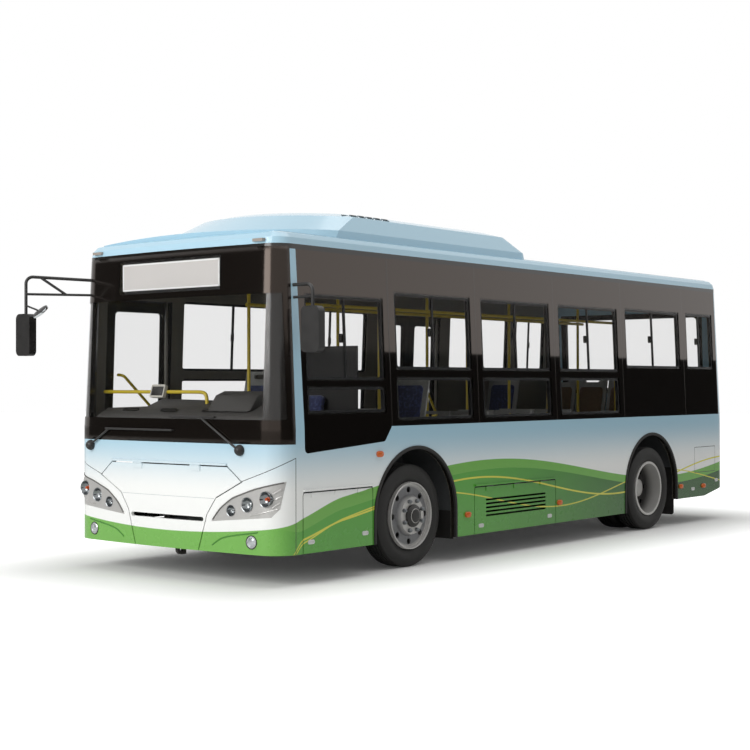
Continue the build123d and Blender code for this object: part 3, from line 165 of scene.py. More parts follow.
def turned(name, profile, centre, axis, steps):
    """A piece turned about an axis through centre, from (distance along, radius) points in a closed loop."""
    bpy.ops.object.select_all(action="DESELECT")
    bpy.ops.mesh.primitive_circle_add(vertices=len(profile), location=(0, 0, 0))
    piece = bpy.context.object
    piece.name = name
    along = Vector(axis).normalized()
    out = along.orthogonal().normalized()
    for corner, (distance, radius) in zip(piece.data.vertices, profile):
        corner.co = Vector(centre) + along * distance + out * radius
    bpy.ops.object.mode_set(mode="EDIT")
    bpy.ops.mesh.select_all(action="SELECT")
    bpy.ops.mesh.spin(steps=steps, angle=2 * math.pi, center=centre, axis=along)
    bpy.ops.mesh.select_all(action="SELECT")
    bpy.ops.mesh.remove_doubles(threshold=MERGE)
    bpy.ops.mesh.normals_make_consistent(inside=False)
    bpy.ops.object.mode_set(mode="OBJECT")
    return piece


def joined(name, pieces):
    """Several shapes made one piece."""
    bpy.ops.object.select_all(action="DESELECT")
    for piece in pieces:
        piece.select_set(True)
    bpy.context.view_layer.objects.active = pieces[0]
    if len(pieces) > 1:
        bpy.ops.object.join()
    pieces[0].name = name
    return pieces[0]


tread = [(-TREAD_HALF, TYRE_R - 0.006)]
for groove in GROOVES_Y:
    tread += [(groove - GROOVE_HALF, TYRE_R), (groove - GROOVE_HALF * 0.7, TYRE_R - GROOVE_DEEP)]
    tread += [(groove + GROOVE_HALF * 0.7, TYRE_R - GROOVE_DEEP), (groove + GROOVE_HALF, TYRE_R)]
tread.append((TREAD_HALF, TYRE_R - 0.006))
wall_out = [(0.106, TYRE_R - 0.022), (0.113, TYRE_R - 0.05), (SECTION_HALF, 0.385), (0.117, 0.355),
            (0.113, 0.345), (0.1115, 0.338), (0.104, 0.315), (0.094, 0.301), (0.0935, BEAD_R)]
wall_in = [(-along, radius) for along, radius in reversed(wall_out)]
tyre_profile = tread + wall_out + wall_in
# Tyre rubber is blacker than the moulded pieces, with dust in soft patches.
tyre_rubber = finish_of("carbon-black tyre rubber", "#100F0E", "#1D1B19", 0.66, 120, 3, 0.3)
for hand in ("left", "right"):
    centre = sum(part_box(f"tyre_front_{hand}"), Vector()) / 2
    tyre = turned(f"tyre_front_{hand}_tread", tyre_profile, centre, (0, 1, 0), TYRE_STEPS)
    settle(tyre, tyre_rubber, f"front_wheel_{hand}")
    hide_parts(f"tyre_front_{hand}")
    centre = sum(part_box(f"tyres_rear_{hand}"), Vector()) / 2
    pair = [turned("twin", tyre_profile, centre + Vector((0, off * TWIN / 2, 0)), (0, 1, 0), TYRE_STEPS)
            for off in (-1, 1)]
    tyre = settle(joined(f"tyres_rear_{hand}_tread", pair), tyre_rubber, f"rear_wheels_{hand}")
    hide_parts(f"tyres_rear_{hand}")
dress(tyre_rubber, "tyre_front_left", "tyre_front_right", "tyres_rear_left", "tyres_rear_right")

# Wheels: steel discs pressed and welded into rolled rims, then sprayed silver, which gives
# a soft metallic sheen, darker in a ring on the disc. A rolled lip stands out round each rim.
LIP_PROFILE = [(-0.02, 0.276), (0.0, 0.279), (0.012, 0.285), (0.014, 0.292), (0.008, 0.297),
               (-0.004, 0.296), (-0.02, 0.292)]
LIP_Y = 1.18
# Darker, mottled silver lies between the radii of the nut seat and the rim's well, and painted shade in the dish's
# depth.
DARK_RING_R = (0.155, 0.18, 0.25, 0.272)
DARK_RING_MM = 60
DISH_SHADE_Y = (0.985, 1.13)
rim_silver = finish_of("silver rim enamel", "#C8C6C3", "#AFADAA", 0.36, 60, 4, 0.2, metallic=0.3)
wheel_silver, tree, shader, place = start_material("dusty silver wheel enamel", 0.38, 0.3)
middle_x = (FRONT_AXLE_X + REAR_AXLE_X) / 2
half_base = FRONT_AXLE_X - middle_x
from_axle = add(tree, "VectorMath", {0: place, 1: (middle_x, 0, AXLE_Z)}, out="Vector", operation="SUBTRACT")
from_axle = add(tree, "VectorMath", {0: from_axle}, out="Vector", operation="ABSOLUTE")
from_axle = add(tree, "VectorMath", {0: from_axle, 1: (half_base, 0, 0)}, out="Vector", operation="SUBTRACT")
from_axle = add(tree, "VectorMath", {0: from_axle, 1: (1, 0, 1)}, out="Vector", operation="MULTIPLY")
radius = add(tree, "VectorMath", {0: from_axle}, out="Value", operation="LENGTH")
inner = add(tree, "MapRange", {"Value": radius, "From Min": DARK_RING_R[0], "From Max": DARK_RING_R[1]})
outer = add(tree, "MapRange", {"Value": radius, "From Min": DARK_RING_R[3], "From Max": DARK_RING_R[2]})
dark_ring = add(tree, "Math", {0: inner, 1: outer}, operation="MULTIPLY")
patches = add(tree, "TexNoise", {"Vector": place, "Scale": 1000 / DARK_RING_MM, "Detail": 4.0})
mottled = add(tree, "Mix", {"Factor": patches, "A": linear("#85868A"), "B": linear("#6C6B6A")}, **COLOURS)
shade = add(tree, "Mix", {"Factor": dark_ring, "A": linear("#C4C2BF"), "B": mottled}, **COLOURS)
# Painted shade: the depth of the dish, where the rear discs sit, darkens to near black.
depth = add(tree, "Math", {0: add(tree, "SeparateXYZ", {"Vector": place}, out="Y")}, operation="ABSOLUTE")
dish_shade = add(tree, "MapRange", {"Value": depth, "From Min": DISH_SHADE_Y[1], "From Max": DISH_SHADE_Y[0]},
            interpolation_type="SMOOTHSTEP")
shade = add(tree, "Mix", {"Factor": dish_shade, "A": shade, "B": linear("#2B2927")}, **COLOURS)
tree.links.new(shade, shader.inputs["Base Color"])
dress(wheel_silver, "wheel_front_left", "wheel_front_right", "wheels_rear_left", "wheels_rear_right")
for side, hand in ((1, "left"), (-1, "right")):
    lip_at = (FRONT_AXLE_X, side * LIP_Y, AXLE_Z)
    rim_lip = turned(f"rim_lip_front_{hand}", LIP_PROFILE, lip_at, (0, side, 0), 64)
    settle(rim_lip, rim_silver, f"front_wheel_{hand}")

# Wheel nuts and hub covers: zinc-plated steel nuts on studs, and a black pressed cover over
# each front bearing. The plate is dull and blotched, the cover's enamel satin.
NUTS = 8
NUT_CIRCLE = 0.1375
NUT_R = 0.019
NUT_H = 0.026
NUT_WALL = 0.004
STUD_OUT = 0.008
STUD_WALL = 0.003
NUT_EDGE = 0.0015
COVER_LIFT = 0.004
FRONT_DISC_Y = 1.199
REAR_DISC_Y = 0.963
COVER_PROFILE = [(0.0, 0.1), (0.012, 0.1), (0.016, 0.098), (0.018, 0.09), (0.03, 0.07), (0.034, 0.06),
                 (0.036, 0.03), (0.036, 0.0), (0.03, 0.0), (0.0, 0.09)]
zinc = finish_of("dull zinc plate", "#8E9194", "#74777A", 0.36, 30, 2, 0.1, metallic=0.85)
hub_black = finish_of("black hub enamel", "#191817", "#2A2725", 0.4, 40, 3, 0.2)


def pick_faces(piece, facing):
    """Select the faces of a piece that look one way, ready for edit mode."""
    bpy.ops.object.mode_set(mode="EDIT")
    bpy.ops.mesh.select_mode(type="FACE")
    bpy.ops.mesh.select_all(action="DESELECT")
    bpy.ops.object.mode_set(mode="OBJECT")
    for face in piece.data.polygons:
        face.select = face.normal.dot(Vector(facing)) > 0.9
    bpy.ops.object.mode_set(mode="EDIT")


def copies(model, places):
    """Copies of a model, each with its own mesh, set by matrices; the model itself goes."""
    made = []
    for matrix in places:
        copy = model.copy()
        copy.data = model.data.copy()
        bpy.context.collection.objects.link(copy)
        copy.matrix_world = matrix
        made.append(copy)
    bpy.data.objects.remove(model)
    return made


def nut_ring(name, axle_x, face, out):
    """A ring of nuts on a disc's face at Y = face, pointing out along Y."""
    facing_out = Matrix.Rotation(-out * math.pi / 2, 4, "X")
    bpy.ops.object.select_all(action="DESELECT")
    bpy.ops.mesh.primitive_cylinder_add(vertices=6, radius=NUT_R, depth=NUT_H, rotation=facing_out.to_euler())
    nut = bpy.context.object
    pick_faces(nut, (0, 0, 1))
    bpy.ops.mesh.inset(thickness=NUT_WALL)
    bpy.ops.mesh.extrude_region_move(TRANSFORM_OT_translate={"value": (0, out * STUD_OUT, 0)})
    bpy.ops.mesh.inset(thickness=STUD_WALL)
    bpy.ops.mesh.select_all(action="SELECT")
    bpy.ops.mesh.bevel(offset=NUT_EDGE, segments=1)
    bpy.ops.object.mode_set(mode="OBJECT")
    places = []
    for turn in range(NUTS):
        angle = 2 * math.pi * (turn + 0.5) / NUTS
        at = (axle_x + NUT_CIRCLE * math.cos(angle), face + out * NUT_H / 2,
              AXLE_Z + NUT_CIRCLE * math.sin(angle))
        places.append(Matrix.Translation(at) @ facing_out)
    return joined(name, copies(nut, places))


for side, hand in ((1, "left"), (-1, "right")):
    nuts = nut_ring(f"wheel_nuts_front_{hand}", FRONT_AXLE_X, side * FRONT_DISC_Y, side)
    settle(nuts, zinc, f"front_wheel_{hand}")
    hub_at = (FRONT_AXLE_X, side * (FRONT_DISC_Y + COVER_LIFT), AXLE_Z)
    cover = turned(f"hub_cover_{hand}", COVER_PROFILE, hub_at, (0, side, 0), 40)
    settle(cover, hub_black, f"front_wheel_{hand}")
    nuts = nut_ring(f"wheel_nuts_rear_{hand}", REAR_AXLE_X, side * REAR_DISC_Y, side)
    settle(nuts, zinc, f"rear_wheels_{hand}")

# Floor: bonded ply under slip-resistant vinyl, welded at its seams and coved up the walls.
# Grit in the vinyl shows as fine flecks of two greys, with no shine.
floor_vinyl = finish_of("flecked floor vinyl", "#5C5E5F", "#494B4D", 0.7, 8, 3, 0.5)
dress(floor_vinyl, "floor")

# Body panels: steel and moulded glass fibre, sprayed with two-pack enamel and lacquer, which
# shine deep and wet. Sky blue fades down to white over a green wave; the skin under the glass
# is black.
A_SEAM_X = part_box("front_fascia")[0].x
REAR_SEAM_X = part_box("rear_wall")[1].x
BELT_Z = 1.255
BAND_TOP_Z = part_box("roof")[0].z
LEAN = math.tan(math.radians(2.55))
HALF_WIDTH = 1.25
PILLARS_X = [FRONT_AXLE_X + x for x in (0.347, -0.967, -2.3335, -3.7, -5.123, -5.966)]
SEAM = 0.003
# Past either end of the bus; the lap by which a region reaches over an edge; soft edge of a stripe.
FAR = 9
LAP = 0.002
EDGE = 0.002
paint, tree, shader, place = start_material("two-pack body enamel", 0.24)
x, y, z = (add(tree, "SeparateXYZ", {"Vector": place}, out=axis) for axis in "XYZ")
side_out = add(tree, "Math", {0: y}, operation="ABSOLUTE")


def region(tree, place, **limits):
    """1 where a place lies within the limits given for X, Y or Z, else 0."""
    share = 1.0
    for axis, (low, high) in limits.items():
        along = add(tree, "SeparateXYZ", {"Vector": place}, out=axis)
        within = add(tree, "Math", {0: along, 1: (low + high) / 2, 2: (high - low) / 2}, operation="COMPARE")
        share = add(tree, "Math", {0: share, 1: within}, operation="MULTIPLY")
    return share


# The front's dip: its height at the middle, and how fast it climbs to the sides.
DIP_Z = 0.403
DIP_CURVE = 0.05


def stripe_top(crest_x, length, mean, height, front_drop):
    """The height of a cosine wave along the sides that runs into a dip across the front."""
    turn = add(tree, "Math", {0: x, 1: -crest_x}, operation="ADD")
    turn = add(tree, "Math", {0: turn, 1: 2 * math.pi / length}, operation="MULTIPLY")
    turn = add(tree, "Math", {0: turn}, operation="COSINE")
    along = add(tree, "Math", {0: turn, 1: height, 2: mean}, operation="MULTIPLY_ADD")
    fall = add(tree, "MapRange", {"Value": x, "From Min": A_SEAM_X - 0.6, "From Max": A_SEAM_X + 0.1,
                                  "To Max": 0.1}, interpolation_type="SMOOTHSTEP")
    along = add(tree, "Math", {0: along, 1: fall}, operation="SUBTRACT")
    dip = add(tree, "Math", {0: side_out, 1: 2.0}, operation="POWER")
    dip = add(tree, "Math", {0: dip, 1: DIP_CURVE, 2: DIP_Z - front_drop}, operation="MULTIPLY_ADD")
    return add(tree, "Mix", {"Factor": on_front, "A": along, "B": dip}, out="Result")


WHITE = linear("#F4F5F3")
SKY = linear("#ABD0E2")
LEAF_GREEN = linear("#6FB148")
MID_GREEN = linear("#55A437")
DEEP_GREEN = linear("#1E5818")
LIME = linear("#DDD84A")
GLASS_BLACK = linear("#171411")
LINING_GREY = linear("#6B6860")
SEAM_AND_SHADE_BLACK = linear("#2A2A29")
FADE_Z = (0.72, 1.22)
GREENS_X = (1.5, -2.8)
on_front = add(tree, "MapRange", {"Value": x, "From Min": A_SEAM_X - 0.1, "From Max": A_SEAM_X + 0.2},
               interpolation_type="SMOOTHSTEP")
on_sides = add(tree, "Math", {0: 1.0, 1: on_front}, operation="SUBTRACT")
fade = add(tree, "MapRange", {"Value": z, "From Min": FADE_Z[0], "From Max": FADE_Z[1]},
           interpolation_type="SMOOTHSTEP")
colour = add(tree, "Mix", {"Factor": fade, "A": WHITE, "B": SKY}, **COLOURS)
# The lower green deepens toward the rear: partly the livery's own deeper green, partly painted shade for the light
# falling off along the side.
rearward = add(tree, "MapRange", {"Value": x, "From Min": GREENS_X[0], "From Max": GREENS_X[1]},
               interpolation_type="SMOOTHSTEP")
hill_green_rearward = add(tree, "Mix", {"Factor": rearward, "A": MID_GREEN, "B": DEEP_GREEN}, **COLOURS)
HILLS = (
    # crest X, wave length, mean height, half height, shade, where it shows
    (0.83, 7.0, 0.745, 0.165, LEAF_GREEN, 1.0),
    (0.75, 7.0, 0.655, 0.165, hill_green_rearward, on_sides),
)
for crest_x, length, mean, height, shade, where in HILLS:
    above = add(tree, "Math", {0: stripe_top(crest_x, length, mean, height, 0.0), 1: z}, operation="SUBTRACT")
    below = add(tree, "MapRange", {"Value": above, "From Min": -EDGE, "From Max": EDGE})
    below = add(tree, "Math", {0: below, 1: where}, operation="MULTIPLY")
    colour = add(tree, "Mix", {"Factor": below, "A": colour, "B": shade}, **COLOURS)
THREADS = (
    # crest X, wave length, mean height, half height, half thickness
    (1.05, 5.2, 0.60, 0.15, 0.007),
    (-2.6, 4.4, 0.52, 0.13, 0.005),
)
# Dropped this far at the front, the threads stay off it.
THREAD_DROP = 0.4
for crest_x, length, mean, height, thick in THREADS:
    top = stripe_top(crest_x, length, mean, height, THREAD_DROP)
    off = add(tree, "Math", {0: top, 1: z}, operation="SUBTRACT")
    off = add(tree, "Math", {0: off}, operation="ABSOLUTE")
    thread = add(tree, "MapRange", {"Value": off, "From Min": thick + EDGE, "From Max": thick})
    thread = add(tree, "Math", {0: thread, 1: on_sides}, operation="MULTIPLY")
    colour = add(tree, "Mix", {"Factor": thread, "A": colour, "B": LIME}, **COLOURS)
# Seams: the front bumper's rising edge and upright end, a service flap behind the rear wheels,
# and the hatches' tops; a grey line across the front flap is painted shade in its fold.
SHOULDER_X, SHOULDER_Y, SHOULDER_Z = FRONT_AXLE_X + 1.803, 0.846, 0.836
BUMPER_CORNER_Z = 1.03
shoulder_run = SHOULDER_Y - SHOULDER_X
corner_run = HALF_WIDTH - A_SEAM_X
run = add(tree, "Math", {0: side_out, 1: x}, operation="SUBTRACT")
rise = add(tree, "MapRange", {"Value": run, "From Min": shoulder_run, "From Max": corner_run,
                              "To Min": SHOULDER_Z, "To Max": BUMPER_CORNER_Z})
near = add(tree, "Math", {0: rise, 1: z, 2: SEAM}, operation="COMPARE")
past = add(tree, "Math", {0: run, 1: shoulder_run}, operation="GREATER_THAN")
bumper_edge = add(tree, "Math", {0: near, 1: past}, operation="MULTIPLY")
nose = region(tree, place, X=(A_SEAM_X, FAR))
bumper_edge = add(tree, "Math", {0: bumper_edge, 1: nose}, operation="MULTIPLY")
upright = region(tree, place, X=(A_SEAM_X - SEAM, A_SEAM_X + SEAM), Z=(0, BUMPER_CORNER_Z))
FLAP_X = (FRONT_AXLE_X - 5.86, FRONT_AXLE_X - 5.33)
FLAP_Z = (0.58, 0.88)
flap_whole = region(tree, place, X=FLAP_X, Z=FLAP_Z)
flap_inner = region(tree, place, X=(FLAP_X[0] + 2 * SEAM, FLAP_X[1] - 2 * SEAM),
                    Z=(FLAP_Z[0] + 2 * SEAM, FLAP_Z[1] - 2 * SEAM))
flap_edge = add(tree, "Math", {0: flap_whole, 1: flap_inner}, operation="SUBTRACT")
# Along each hatch's top, a dark band 12 mm deep: its joint, and painted shade under the rain lip above it.
hatch_top_shades = []
for hatch in ("hatch_front_left", "hatch_mid_left"):
    low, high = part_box(hatch)
    hatch_top_shades.append(region(tree, place, X=(low.x, high.x), Y=(high.y - 0.05, high.y + 0.05),
                              Z=(high.z - 0.012, high.z + 0.001)))
for seam in (bumper_edge, upright, flap_edge, *hatch_top_shades):
    colour = add(tree, "Mix", {"Factor": seam, "A": colour, "B": SEAM_AND_SHADE_BLACK}, **COLOURS)
# A grey line across the front flap: painted shade in its fold.
fold = region(tree, place, X=(A_SEAM_X, FAR), Y=(-0.56, 0.56), Z=(0.688, 0.692))
colour = add(tree, "Mix", {"Factor": fold, "A": colour, "B": linear("#BFC4C5")}, **COLOURS)
# Black: the skin under the side glass, the pillars between the panes, the frame round the
# windscreen and the bed of the rear window.
lean_in = add(tree, "Math", {0: z, 1: -BELT_Z}, operation="ADD")
lean_in = add(tree, "Math", {0: lean_in, 1: 0.0}, operation="MAXIMUM")
deep = add(tree, "Math", {0: lean_in, 1: -LEAN, 2: HALF_WIDTH}, operation="MULTIPLY_ADD")
deep = add(tree, "Math", {0: deep, 1: side_out}, operation="SUBTRACT")
GLASS_BED, LINING_DEEP = 0.004, 0.05
SCREEN_FOOT_Z, DRIP_Z, PILLAR_TOP_Z = 1.1395, 2.712, 2.72
wall_x = (REAR_SEAM_X - LAP, A_SEAM_X + LAP)
band_top = BAND_TOP_Z - 0.0005
wall = region(tree, place, X=wall_x, Z=(0, band_top))
under_glass = add(tree, "Math", {0: deep, 1: GLASS_BED}, operation="GREATER_THAN")
under_glass = add(tree, "Math", {0: under_glass, 1: wall}, operation="MULTIPLY")
drip_strip = region(tree, place, X=wall_x, Z=(DRIP_Z, band_top))
pillar_band = region(tree, place, X=(PILLARS_X[-1] + 0.003, PILLARS_X[0] + 0.006),
                     Z=(BELT_Z + GLASS_BED, PILLAR_TOP_Z))
screen_frame = region(tree, place, X=(wall_x[1], FAR), Z=(SCREEN_FOOT_Z, band_top))
pane_low, pane_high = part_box("rear_window")
rear_bed = region(tree, place, X=(-FAR, wall_x[0]), Y=(pane_low.y + LAP, pane_high.y - LAP),
                  Z=(pane_low.z + LAP, pane_high.z - LAP))
for black in (under_glass, drip_strip, pillar_band, screen_frame, rear_bed):
    colour = add(tree, "Mix", {"Factor": black, "A": colour, "B": GLASS_BLACK}, **COLOURS)
lining = add(tree, "Math", {0: deep, 1: LINING_DEEP}, operation="GREATER_THAN")
lining = add(tree, "Math", {0: lining, 1: wall}, operation="MULTIPLY")
colour = add(tree, "Mix", {"Factor": lining, "A": colour, "B": LINING_GREY}, **COLOURS)
facing = add(tree, "SeparateXYZ", {"Vector": add(tree, "NewGeometry", {}, out="Normal")}, out="Z")
ceiling = add(tree, "Math", {0: facing, 1: -0.4}, operation="LESS_THAN")
CEILING_Z = (2.5, 2.88)
ceiling = add(tree, "Math", {0: ceiling, 1: region(tree, place, Z=CEILING_Z)}, operation="MULTIPLY")
colour = add(tree, "Mix", {"Factor": ceiling, "A": colour, "B": LINING_GREY}, **COLOURS)
# Road dust lies thinly on the skirts, in patches a hand wide, and dulls the lacquer there.
HAND_MM, DUST_TOP_Z, DUST_FULL_Z = 140, 0.75, 0.2
dust = add(tree, "TexNoise", {"Vector": place, "Scale": 1000 / HAND_MM, "Detail": 5.0})
low_down = add(tree, "MapRange", {"Value": z, "From Min": DUST_TOP_Z, "From Max": DUST_FULL_Z, "To Max": 0.09})
film = add(tree, "Math", {0: dust, 1: low_down}, operation="MULTIPLY")
colour = add(tree, "Mix", {"Factor": film, "A": colour, "B": linear("#8C8470")}, **COLOURS)
tree.links.new(colour, shader.inputs["Base Color"])
matt = add(tree, "MapRange", {"Value": film, "From Max": 0.06, "To Min": 0.2, "To Max": 0.34})
tree.links.new(matt, shader.inputs["Roughness"])
shader.inputs["Coat Weight"].default_value = 0.3
shader.inputs["Coat Roughness"].default_value = 0.06
# Orange peel is about 2 mm across on the real panels; 12 mm shows at this distance.
PEEL_MM = 12
peel = add(tree, "TexNoise", {"Vector": place, "Scale": 1000 / PEEL_MM, "Detail": 1.0})
bump = add(tree, "Bump", {"Height": peel, "Strength": 0.06, "Distance": 0.0006})
tree.links.new(bump, shader.inputs["Normal"])
dress(paint, "left_wall", "right_wall", "rear_wall", "roof", "roof_pod", "front_fascia", "front_flap",
      "hatch_front_left", "hatch_mid_left", "rear_lid", "door_front", "door_mid_front", "door_mid_rear")

# Wheel arch lips: extruded black rubber, bent over each arch and pressed on its cut edge,
# with legs down to the skirt.
ARCH_Z = 0.475
LIP = ((0.573, 1.236), (0.573, 1.258), (0.588, 1.262), (0.603, 1.258), (0.603, 1.249))
FRONT_SKIRT_Z, MID_SKIRT_Z, REAR_SKIRT_Z = 0.256, 0.222, 0.3


def arch_lip(name, axle_x, side, front_z, rear_z):
    """A lip bent over an arch from its section, with straight legs down to the skirt's edge."""
    bpy.ops.object.select_all(action="DESELECT")
    bpy.ops.mesh.primitive_circle_add(vertices=len(LIP), location=(0, 0, 0))
    lip = bpy.context.object
    for corner, (radius, out) in zip(lip.data.vertices, LIP):
        corner.co = (axle_x + radius, side * out, ARCH_Z)
    bpy.ops.object.mode_set(mode="EDIT")
    bpy.ops.mesh.select_mode(type="VERT")
    bpy.ops.mesh.select_all(action="SELECT")
    bpy.ops.mesh.spin(steps=36, angle=math.pi, center=(axle_x, 0, ARCH_Z), axis=(0, 1, 0))
    bpy.ops.mesh.extrude_region_move(TRANSFORM_OT_translate={"value": (0, 0, rear_z - ARCH_Z)})
    bpy.ops.mesh.edge_face_add()
    bpy.ops.mesh.select_all(action="DESELECT")
    bpy.ops.object.mode_set(mode="OBJECT")
    for corner in lip.data.vertices:
        corner.select = corner.co.x > axle_x and abs(corner.co.z - ARCH_Z) < 0.0005
    bpy.ops.object.mode_set(mode="EDIT")
    bpy.ops.mesh.extrude_region_move(TRANSFORM_OT_translate={"value": (0, 0, front_z - ARCH_Z)})
    bpy.ops.mesh.edge_face_add()
    bpy.ops.mesh.select_all(action="SELECT")
    bpy.ops.mesh.normals_make_consistent(inside=False)
    bpy.ops.object.mode_set(mode="OBJECT")
    lip.name = name
    return lip


for side, hand in ((1, "left"), (-1, "right")):
    front_lip = arch_lip(f"arch_lip_front_{hand}", FRONT_AXLE_X, side, FRONT_SKIRT_Z, MID_SKIRT_Z)
    settle(front_lip, rubber, "body")
    rear_lip = arch_lip(f"arch_lip_rear_{hand}", REAR_AXLE_X, side, MID_SKIRT_Z, REAR_SKIRT_Z)
    settle(rear_lip, rubber, "body")

# Hatch locks: oval die-cast bezels round a keyhole, nickel-plated and screwed into each hatch.
# The plate is satin, so it looks pale grey with a broad sheen.
LOCK = (0.08, 0.036)
LOCK_CORNER = 0.0178
LOCK_OUT, LOCK_BORDER, LOCK_SINK = 0.008, 0.008, 0.004
LOCKS = (
    # X from the front axle, Z, body that carries it
    (1.409, 0.347, "hatch_front_left"),
    (0.722, 0.364, "hatch_front_left"),
    (-0.984, 0.298, "hatch_mid_left"),
    (-2.174, 0.304, "hatch_mid_left"),
    (-5.28, 0.397, "body"),
    (-5.884, 0.47, "body"),
)
satin_nickel = finish_of("satin nickel plate", "#E2E2E1", "#D2D2D1", 0.34, 30, 2, 0.05, metallic=0.3)


def rounded(width, height, corner, steps=5):
    """The corners of a rounded rectangle about its middle, as (across, up) pairs."""
    points = []
    for quarter, (across, up) in enumerate(((1, 1), (-1, 1), (-1, -1), (1, -1))):
        for step in range(steps + 1):
            angle = math.pi / 2 * (quarter + step / steps)
            points.append((across * (width / 2 - corner) + corner * math.cos(angle),
                           up * (height / 2 - corner) + corner * math.sin(angle)))
    return points


def placed(points, centre, across, up):
    """Flat (across, up) points set in space about a centre."""
    return [Vector(centre) + Vector(across) * a + Vector(up) * b for a, b in points]


def flat(name, outline):
    """One flat face with the given corners."""
    bpy.ops.object.select_all(action="DESELECT")
    bpy.ops.mesh.primitive_circle_add(vertices=len(outline), fill_type="NGON", location=(0, 0, 0))
    piece = bpy.context.object
    piece.name = name
    for corner, at in zip(piece.data.vertices, outline):
        corner.co = at
    bpy.ops.object.mode_set(mode="EDIT")
    bpy.ops.mesh.select_mode(type="FACE")
    bpy.ops.mesh.select_all(action="SELECT")
    return piece


def slab(name, outline, push, bevel, sunk=0.0, sink=0.0):
    """An outline pushed out to a thickness, with a rounded rim, or with its middle sunk inside a border."""
    piece = flat(name, outline)
    bpy.ops.mesh.extrude_region_move(TRANSFORM_OT_translate={"value": push})
    if sunk:
        bpy.ops.mesh.inset(thickness=sunk)
        back = Vector(push).normalized() * -sink
        bpy.ops.mesh.extrude_region_move(TRANSFORM_OT_translate={"value": back})
    else:
        bpy.ops.mesh.bevel(offset=bevel, segments=2, affect="EDGES")
    bpy.ops.mesh.select_all(action="SELECT")
    bpy.ops.mesh.normals_make_consistent(inside=False)
    bpy.ops.object.mode_set(mode="OBJECT")
    return piece


bezel = placed(rounded(*LOCK, LOCK_CORNER), (0, 0, 0), (1, 0, 0), (0, 0, 1))
bezel = slab("bezel", bezel, (0, LOCK_OUT, 0), 0, LOCK_BORDER, LOCK_SINK)
lock_places = [Matrix.Translation((FRONT_AXLE_X + lock_x, HALF_WIDTH - 0.001, lock_z))
               for lock_x, lock_z, _ in LOCKS]
for number, (lock, (_, _, body)) in enumerate(zip(copies(bezel, lock_places), LOCKS)):
    lock.name = f"hatch_lock_{number + 1}"
    settle(lock, satin_nickel, body)

# Rear splash sheets: black rubber, bolted to the back of each rear mud flap, and closing
# the arch above it up to the wheel box.
SHEET_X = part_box("mud_flaps")[0].x - 0.002
SHEET_Y = (0.7, 1.19)
SHEET_Z = (0.12, 0.72)
SHEET_THICK = 0.008
sheet_size = (SHEET_Y[1] - SHEET_Y[0], SHEET_Z[1] - SHEET_Z[0])
for side, hand in ((1, "left"), (-1, "right")):
    at = (SHEET_X, side * sum(SHEET_Y) / 2, sum(SHEET_Z) / 2)
    outline = placed(rounded(*sheet_size, 0.03), at, (0, 1, 0), (0, 0, 1))
    sheet = slab(f"splash_sheet_{hand}", outline, (-SHEET_THICK, 0, 0), 0.002)
    settle(sheet, rubber, "body")

# Roof pod louvres: two rows of pressed steel slots, let into the slope of the pod's left side
# and glued there. Their enamel is dull and near black, partly painted shade for the dark inside the slots, so they
# read as dark holes.
LOUVRE = (0.085, 0.022)
LOUVRE_CORNER = 0.0105
LOUVRE_SET, LOUVRE_OUT, LOUVRE_BORDER, LOUVRE_SINK = 0.002, 0.006, 0.004, 0.003
LOUVRE_PITCH = 0.112
LOUVRE_ROWS = (
    # X of the first slot from the front axle, Y, slots
    (0.42, 0.775, 6),
    (0.37, 0.845, 5),
)
# Near black: the slots' own enamel, and painted shade for the dark inside them.
louvre_slot_shade_black = finish_of("black louvre enamel and slot shade", "#1F2224", "#2B2F31", 0.5, 40, 3, 0.2)


def meet(node, start, toward):
    """Where a straight line first meets a CAD node, and which way the surface looks there."""
    _, at, facing, _ = nodes[node].ray_cast(Vector(start), Vector(toward))
    return at, facing


louvres = []
for first_x, row_y, count in LOUVRE_ROWS:
    for step in range(count):
        at, facing = meet("roof_pod", (FRONT_AXLE_X + first_x - step * LOUVRE_PITCH, row_y, FAR), (0, 0, -1))
        along = Vector((1, 0, 0))
        down = facing.cross(along)
        outline = placed(rounded(*LOUVRE, LOUVRE_CORNER), at - facing * LOUVRE_SET, along, down)
        louvres.append(slab("louvre", outline, facing * LOUVRE_OUT, 0, LOUVRE_BORDER, LOUVRE_SINK))
settle(joined("pod_louvres", louvres), louvre_slot_shade_black, "body")

# Side glass: toughened grey-tinted panes bonded flush to the wall. A black ceramic border is
# fired on them wherever the wall stands behind, so they look like one black band with windows.
SASH_SIDE = 0.095
CLEAR_LAP = 0.01
PANE_JOINT = 0.004
TWO_PANES = ((1.31, 1.675), (1.755, 2.415))
ONE_PANE = ((1.8, 2.43),)
DRIVER_PANES = ((1.385, 1.595), (1.66, 2.35))
FRONT_BAY_X = FRONT_AXLE_X + 0.625
BAYS = {
    # front pillar, rear pillar, heights of the openings
    "left": [(PILLARS_X[step], PILLARS_X[step + 1], TWO_PANES if step < 3 else ONE_PANE) for step in range(5)],
    "right": [(FRONT_BAY_X, PILLARS_X[1], TWO_PANES), (PILLARS_X[1], PILLARS_X[2], TWO_PANES),
              (PILLARS_X[3], PILLARS_X[4], ONE_PANE), (PILLARS_X[4], PILLARS_X[5], ONE_PANE)],
}
DRIVER_BAY_X = (A_SEAM_X - 0.162, FRONT_AXLE_X + 0.428)
BAYS["left"].append((DRIVER_BAY_X[0] + SASH_SIDE, DRIVER_BAY_X[1] - SASH_SIDE, DRIVER_PANES))
OPENINGS = {hand: [(rear + SASH_SIDE, front - SASH_SIDE, low, high)
                   for front, rear, panes in bays for low, high in panes] for hand, bays in BAYS.items()}
